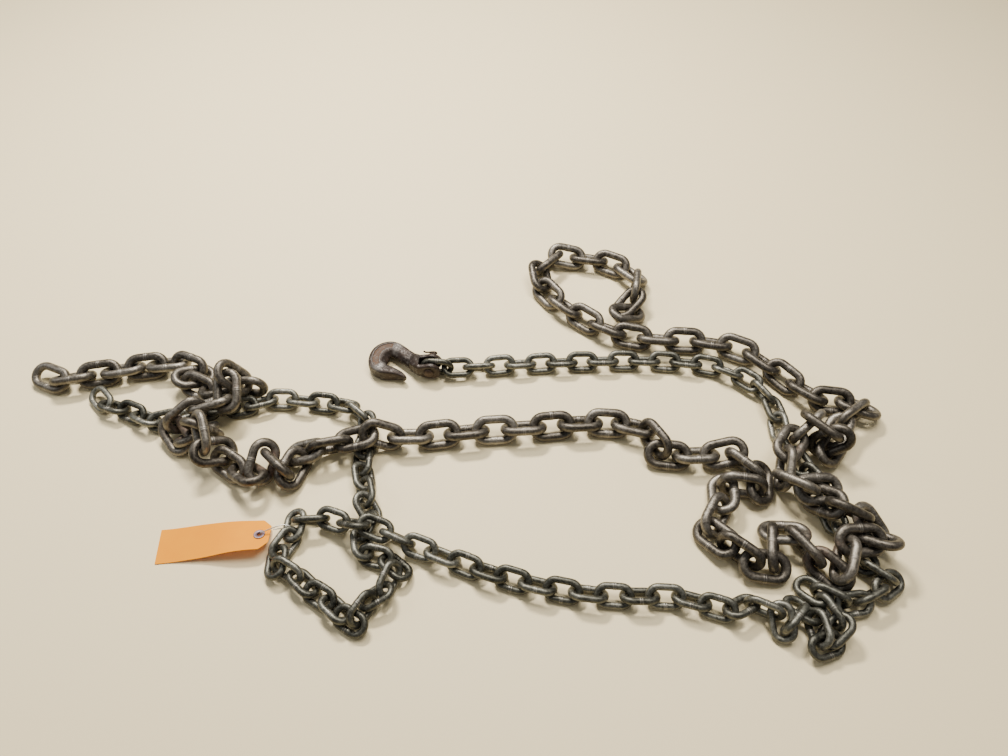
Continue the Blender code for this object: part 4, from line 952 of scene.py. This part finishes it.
class Nodes:
    """Short names for building a material's nodes."""

    def __init__(self, name):
        self.material = bpy.data.materials.new(name)
        self.material.use_nodes = True
        self.tree = self.material.node_tree
        self.shader = self.tree.nodes["Principled BSDF"]
        self.place = self.tree.nodes.new("ShaderNodeTexCoord").outputs["Object"]

    def link(self, source, target):
        self.tree.links.new(source, target)

    def noise(self, scale, detail=4.0, roughness=0.6, distortion=0.0):
        node = self.tree.nodes.new("ShaderNodeTexNoise")
        node.inputs["Scale"].default_value = scale
        node.inputs["Detail"].default_value = detail
        node.inputs["Roughness"].default_value = roughness
        node.inputs["Distortion"].default_value = distortion
        self.link(self.place, node.inputs["Vector"])
        return node.outputs["Fac"]

    def mark(self, name):
        node = self.tree.nodes.new("ShaderNodeAttribute")
        node.attribute_name = name
        return node.outputs["Fac"]

    def math(self, operation, a, b, clamp=False):
        node = self.tree.nodes.new("ShaderNodeMath")
        node.operation = operation
        node.use_clamp = clamp
        for socket, value in zip(node.inputs, (a, b)):
            if isinstance(value, (int, float)):
                socket.default_value = value
            else:
                self.link(value, socket)
        return node.outputs[0]

    def spread(self, value, low, high, to_low=0.0, to_high=1.0):
        node = self.tree.nodes.new("ShaderNodeMapRange")
        node.interpolation_type = "SMOOTHSTEP"
        self.link(value, node.inputs["Value"])
        limits = {"From Min": low, "From Max": high, "To Min": to_low, "To Max": to_high}
        for name, number in limits.items():
            node.inputs[name].default_value = number
        return node.outputs["Result"]

    def near(self, spot, reach):
        """1 at a spot, falling to 0 at a distance."""
        node = self.tree.nodes.new("ShaderNodeVectorMath")
        node.operation = "DISTANCE"
        self.link(self.place, node.inputs[0])
        node.inputs[1].default_value = spot
        return self.spread(node.outputs["Value"], 0.0, reach, 1.0, 0.0)

    def ramp(self, value, stops):
        node = self.tree.nodes.new("ShaderNodeValToRGB")
        while len(node.color_ramp.elements) < len(stops):
            node.color_ramp.elements.new(0.5)
        for element, (position, colour) in zip(node.color_ramp.elements, stops):
            element.position = position
            element.color = (*colour, 1.0)
        self.link(value, node.inputs["Fac"])
        return node.outputs["Color"]

    def mix(self, share, a, b):
        node = self.tree.nodes.new("ShaderNodeMix")
        node.data_type = "RGBA"
        if isinstance(share, float):
            node.inputs[0].default_value = share
        else:
            self.link(share, node.inputs[0])
        for socket, value in ((node.inputs[6], a), (node.inputs[7], b)):
            if isinstance(value, tuple):
                socket.default_value = (*value, 1.0)
            else:
                self.link(value, socket)
        return node.outputs[2]

    def bump(self, layers):
        """Bump from rows of (height, strength, depth in metres)."""
        normal = None
        for height, strength, depth in layers:
            node = self.tree.nodes.new("ShaderNodeBump")
            node.inputs["Strength"].default_value = strength
            node.inputs["Distance"].default_value = depth
            self.link(height, node.inputs["Height"])
            if normal is not None:
                self.link(normal, node.inputs["Normal"])
            normal = node.outputs["Normal"]
        self.link(normal, self.shader.inputs["Normal"])


def chain_look(name, dark, middle, light, rust, rust_level, rust_spots, origin):
    """Old welded chain: dark scale over grey steel, worn lighter, with brown rust in patches."""
    nodes = Nodes(name)
    broad = nodes.noise(45.0, 3.0)
    mottle = nodes.noise(330.0, 6.0, 0.72, 0.6)
    grain = nodes.noise(1500.0, 4.0, 0.7)
    tone = nodes.math("MULTIPLY_ADD", nodes.mark("tone"), 0.16)
    tone.node.inputs[2].default_value = -0.08
    mixed = nodes.math("ADD", nodes.math("MULTIPLY", broad, 0.35), nodes.math("MULTIPLY", mottle, 0.65))
    shade = nodes.math("ADD", mixed, tone, clamp=True)
    colour = nodes.ramp(shade, ((0.34, dark), (0.5, middle), (0.66, light)))
    cloud = nodes.noise(22.0, 4.0, 0.65)
    rusty = nodes.math("ADD", cloud, nodes.math("MULTIPLY", nodes.noise(190.0, 5.0, 0.7), 0.45))
    for x, y, reach in rust_spots:
        spot = tuple(to_metres((x, y, 18.0), origin))
        near = nodes.near(spot, reach * METRES_PER_UNIT)
        rusty = nodes.math("ADD", rusty, nodes.math("MULTIPLY", near, 0.34))
    rusty = nodes.math("ADD", rusty, nodes.math("MULTIPLY", nodes.mark("bend"), 0.04))
    rusty = nodes.spread(rusty, rust_level, rust_level + 0.22)
    rust_colour = nodes.ramp(mottle, ((0.38, rust[0]), (0.62, rust[1])))
    colour = nodes.mix(nodes.math("MULTIPLY", rusty, 0.62), colour, rust_colour)
    colour = nodes.mix(nodes.math("MULTIPLY", nodes.mark("weld"), 0.40), colour, (0.44, 0.41, 0.36))
    scratch = nodes.spread(nodes.noise(620.0, 3.0, 0.8, 1.5), 0.60, 0.68)
    colour = nodes.mix(nodes.math("MULTIPLY", scratch, 0.24), colour, (0.46, 0.42, 0.36))
    nodes.link(colour, nodes.shader.inputs["Base Color"])
    rough = nodes.spread(mottle, 0.35, 0.65, 0.33, 0.50)
    rough = nodes.math("ADD", rough, nodes.math("MULTIPLY", rusty, 0.16), clamp=True)
    nodes.link(rough, nodes.shader.inputs["Roughness"])
    metal = nodes.math("SUBTRACT", 0.80, nodes.math("MULTIPLY", rusty, 0.45), clamp=True)
    nodes.link(metal, nodes.shader.inputs["Metallic"])
    nodes.bump([(broad, 0.25, 0.0012), (mottle, 0.45, 0.0006), (grain, 0.30, 0.00018)])
    return nodes.material


def hook_look(name):
    """Forged hook: dark brown patina, rust in the panel, worn bare steel on the high places, and a painted
    highlight at the panel's ends.
    """
    nodes = Nodes(name)
    broad = nodes.noise(55.0, 3.0)
    mottle = nodes.noise(420.0, 6.0, 0.7, 0.5)
    grain = nodes.noise(2200.0, 4.0, 0.7)
    mixed = nodes.math("ADD", nodes.math("MULTIPLY", broad, 0.5), nodes.math("MULTIPLY", mottle, 0.5))
    colour = nodes.ramp(mixed, ((0.34, (0.009, 0.006, 0.005)), (0.5, (0.024, 0.015, 0.011)),
                                (0.66, (0.062, 0.040, 0.029))))
    panel = nodes.mark("panel")
    rust = nodes.ramp(mottle, ((0.38, (0.040, 0.020, 0.011)), (0.62, (0.155, 0.082, 0.044))))
    colour = nodes.mix(nodes.math("MULTIPLY", panel, 0.85), colour, rust)
    # The edge mark lightens the panel's rim as worn steel and paints a highlight onto the top face at the
    # panel's ends.
    edge = nodes.mark("edge")
    worn = nodes.spread(nodes.noise(200.0, 5.0, 0.75), 0.52, 0.66)
    worn = nodes.math("MULTIPLY", worn, 0.30)
    bare = nodes.math("MAXIMUM", worn, nodes.math("MULTIPLY", edge, 0.38))
    colour = nodes.mix(bare, colour, (0.32, 0.30, 0.28))
    nodes.link(colour, nodes.shader.inputs["Base Color"])
    rough = nodes.spread(mottle, 0.38, 0.62, 0.34, 0.74)
    rough = nodes.math("ADD", rough, nodes.math("MULTIPLY", panel, 0.22), clamp=True)
    nodes.link(rough, nodes.shader.inputs["Roughness"])
    metal = nodes.math("SUBTRACT", 0.36, nodes.math("MULTIPLY", panel, 0.4), clamp=True)
    nodes.link(metal, nodes.shader.inputs["Metallic"])
    nodes.bump([(broad, 0.4, 0.0014), (mottle, 0.6, 0.0006), (grain, 0.4, 0.0002)])
    return nodes.material


def tag_look(name):
    """Orange tag card: faint fibres, slight fading, and a fine tooth."""
    nodes = Nodes(name)
    broad = nodes.noise(30.0, 2.0)
    fibre = nodes.noise(1400.0, 5.0, 0.7, 0.4)
    mixed = nodes.math("ADD", nodes.math("MULTIPLY", broad, 0.6), nodes.math("MULTIPLY", fibre, 0.4))
    colour = nodes.ramp(mixed, ((0.25, (0.88, 0.30, 0.0)), (0.75, (0.94, 0.36, 0.0))))
    nodes.link(colour, nodes.shader.inputs["Base Color"])
    nodes.shader.inputs["Roughness"].default_value = 0.85
    nodes.shader.inputs["Specular IOR Level"].default_value = 0.12
    nodes.bump([(fibre, 0.25, 0.0001)])
    return nodes.material


def metal_look(name, low, high, roughness, metallic, scale):
    """Plain small metal: two tones of one colour with a fine worn grain."""
    nodes = Nodes(name)
    mottle = nodes.noise(scale, 5.0, 0.7, 0.4)
    colour = nodes.ramp(mottle, ((0.3, low), (0.7, high)))
    nodes.link(colour, nodes.shader.inputs["Base Color"])
    rough = nodes.spread(mottle, 0.3, 0.7, roughness - 0.08, roughness + 0.12)
    nodes.link(rough, nodes.shader.inputs["Roughness"])
    nodes.shader.inputs["Metallic"].default_value = metallic
    nodes.bump([(mottle, 0.3, 0.0002)])
    return nodes.material


# Rusty stretches of the large chain: x, y and reach on the bench.
RUST_SPOTS = ((-460.0, 282.0, 45.0), (-342.0, 238.0, 35.0), (262.0, 178.0, 45.0), (304.0, 220.0, 40.0),
              (246.0, 309.0, 30.0))

# Studio: the camera found from the photograph, in the bench frame, with its aim in radians.
CAMERA_PLACE = (-26.9, -192.7, 749.5)
CAMERA_FALL = 0.9010
CAMERA_ROLL = -0.0193
CAMERA_TURN = -0.1066
CAMERA_FOCAL_PIXELS = 757.17
PHOTO_WIDTH = 1008
SENSOR_WIDTH = 36.0
FLOOR_HALF_SIZE = 6.0
FLOOR_COLOUR = (0.93, 0.80, 0.50)


def make_camera(origin):
    ahead = Vector((math.sin(CAMERA_TURN) * math.cos(CAMERA_FALL),
                    math.cos(CAMERA_TURN) * math.cos(CAMERA_FALL), -math.sin(CAMERA_FALL)))
    level = Vector((math.cos(CAMERA_TURN), -math.sin(CAMERA_TURN), 0.0))
    upright = level.cross(ahead)
    right = math.cos(CAMERA_ROLL) * level + math.sin(CAMERA_ROLL) * upright
    up = math.cos(CAMERA_ROLL) * upright - math.sin(CAMERA_ROLL) * level
    data = bpy.data.cameras.new("camera")
    data.sensor_width = SENSOR_WIDTH
    data.lens = CAMERA_FOCAL_PIXELS / PHOTO_WIDTH * SENSOR_WIDTH
    data.clip_start = 0.01
    camera = bpy.data.objects.new("camera", data)
    turn = Matrix((right, up, -ahead)).transposed().to_4x4()
    camera.matrix_world = Matrix.Translation(Vector(to_metres(CAMERA_PLACE, origin))) @ turn
    bpy.context.scene.collection.objects.link(camera)
    bpy.context.scene.camera = camera


def make_light(name, place, aim, size, power, colour):
    data = bpy.data.lights.new(name, "AREA")
    data.shape = "RECTANGLE"
    data.size, data.size_y = size
    data.energy = power
    data.color = colour
    light = bpy.data.objects.new(name, data)
    light.location = place
    light.rotation_euler = (Vector(aim) - Vector(place)).to_track_quat("-Z", "Y").to_euler()
    bpy.context.scene.collection.objects.link(light)


def make_studio():
    """A plain pale floor, soft overhead lamps behind the heap, and a dim room."""
    half = FLOOR_HALF_SIZE
    mesh = bpy.data.meshes.new("floor")
    corners = [(-half, -half, 0), (half, -half, 0), (half, half, 0), (-half, half, 0)]
    mesh.from_pydata(corners, [], [(0, 1, 2, 3)])
    floor = bpy.data.objects.new("floor", mesh)
    bpy.context.scene.collection.objects.link(floor)
    nodes = Nodes("pale_floor")
    nodes.shader.inputs["Base Color"].default_value = (*FLOOR_COLOUR, 1.0)
    nodes.shader.inputs["Roughness"].default_value = 0.6
    mesh.materials.append(nodes.material)
    make_light("lamp_back", (-0.45, 1.05, 1.5), (0.0, 0.0, 0.0), (0.5, 0.18), 54.0, (1.0, 0.93, 0.83))
    make_light("lamp_over", (0.35, 0.45, 1.7), (0.0, 0.0, 0.0), (1.2, 0.25), 27.0, (1.0, 0.94, 0.85))
    make_light("lamp_left", (-1.5, 0.1, 1.2), (0.0, 0.0, 0.0), (0.6, 0.6), 6.0, (0.95, 0.97, 1.0))
    world = bpy.data.worlds.new("room")
    world.use_nodes = True
    world.node_tree.nodes["Background"].inputs["Color"].default_value = (0.80, 0.80, 0.80, 1.0)
    world.node_tree.nodes["Background"].inputs["Strength"].default_value = 0.29
    bpy.context.scene.world = world


def build():
    heap = Heap()
    heap.ease()
    hook_link = heap.centre[heap.hook_link]
    pin = hook_link - heap.along[heap.hook_link] * (SMALL_PITCH / 2 - PIN_DIAMETER / 2 - PIN_SEAT_GAP)
    low, high = np.array(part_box("clevis_pin"), float) / METRES_PER_UNIT
    pin_middle = (PIN_FAR_LENGTH - PIN_HEAD_THICKNESS - PIN_BORE_CLEARANCE) / 2
    origin = pin - ((low + high) / 2 - np.array([0.0, pin_middle, 0.0]))
    make_camera(origin)
    make_studio()
    brown = ((0.085, 0.047, 0.030), (0.22, 0.135, 0.090))
    looks = {
        "large_chain": chain_look("large_chain_worn", (0.046, 0.040, 0.032), (0.130, 0.116, 0.096),
                                  (0.27, 0.25, 0.215), brown, 0.88, RUST_SPOTS, origin),
        "small_chain": chain_look("small_chain_worn", (0.034, 0.034, 0.027), (0.105, 0.104, 0.086),
                                  (0.24, 0.238, 0.205), brown, 0.96, (), origin),
    }
    make_runs(heap, origin, looks, np.random.default_rng(SEED))
    make_hook(pin, origin, hook_look("hook_patina"))
    patina = metal_look("pin_patina", (0.026, 0.016, 0.012), (0.085, 0.052, 0.036), 0.50, 0.4, 700.0)
    make_pin(pin, origin, patina)
    patina = metal_look("cotter_patina", (0.03, 0.02, 0.015), (0.10, 0.065, 0.045), 0.45, 0.5, 600.0)
    make_cotter(pin, origin, patina)
    eyelet_place = make_tag(origin, tag_look("orange_card"))
    lacquer = metal_look("eyelet_lacquer", (0.13, 0.085, 0.11), (0.26, 0.19, 0.23), 0.4, 0.4, 500.0)
    make_eyelet(eyelet_place, origin, lacquer)
    bright = metal_look("bright_wire", (0.50, 0.49, 0.47), (0.70, 0.69, 0.66), 0.32, 0.9, 900.0)
    make_tag_wire(origin, bright)


build()
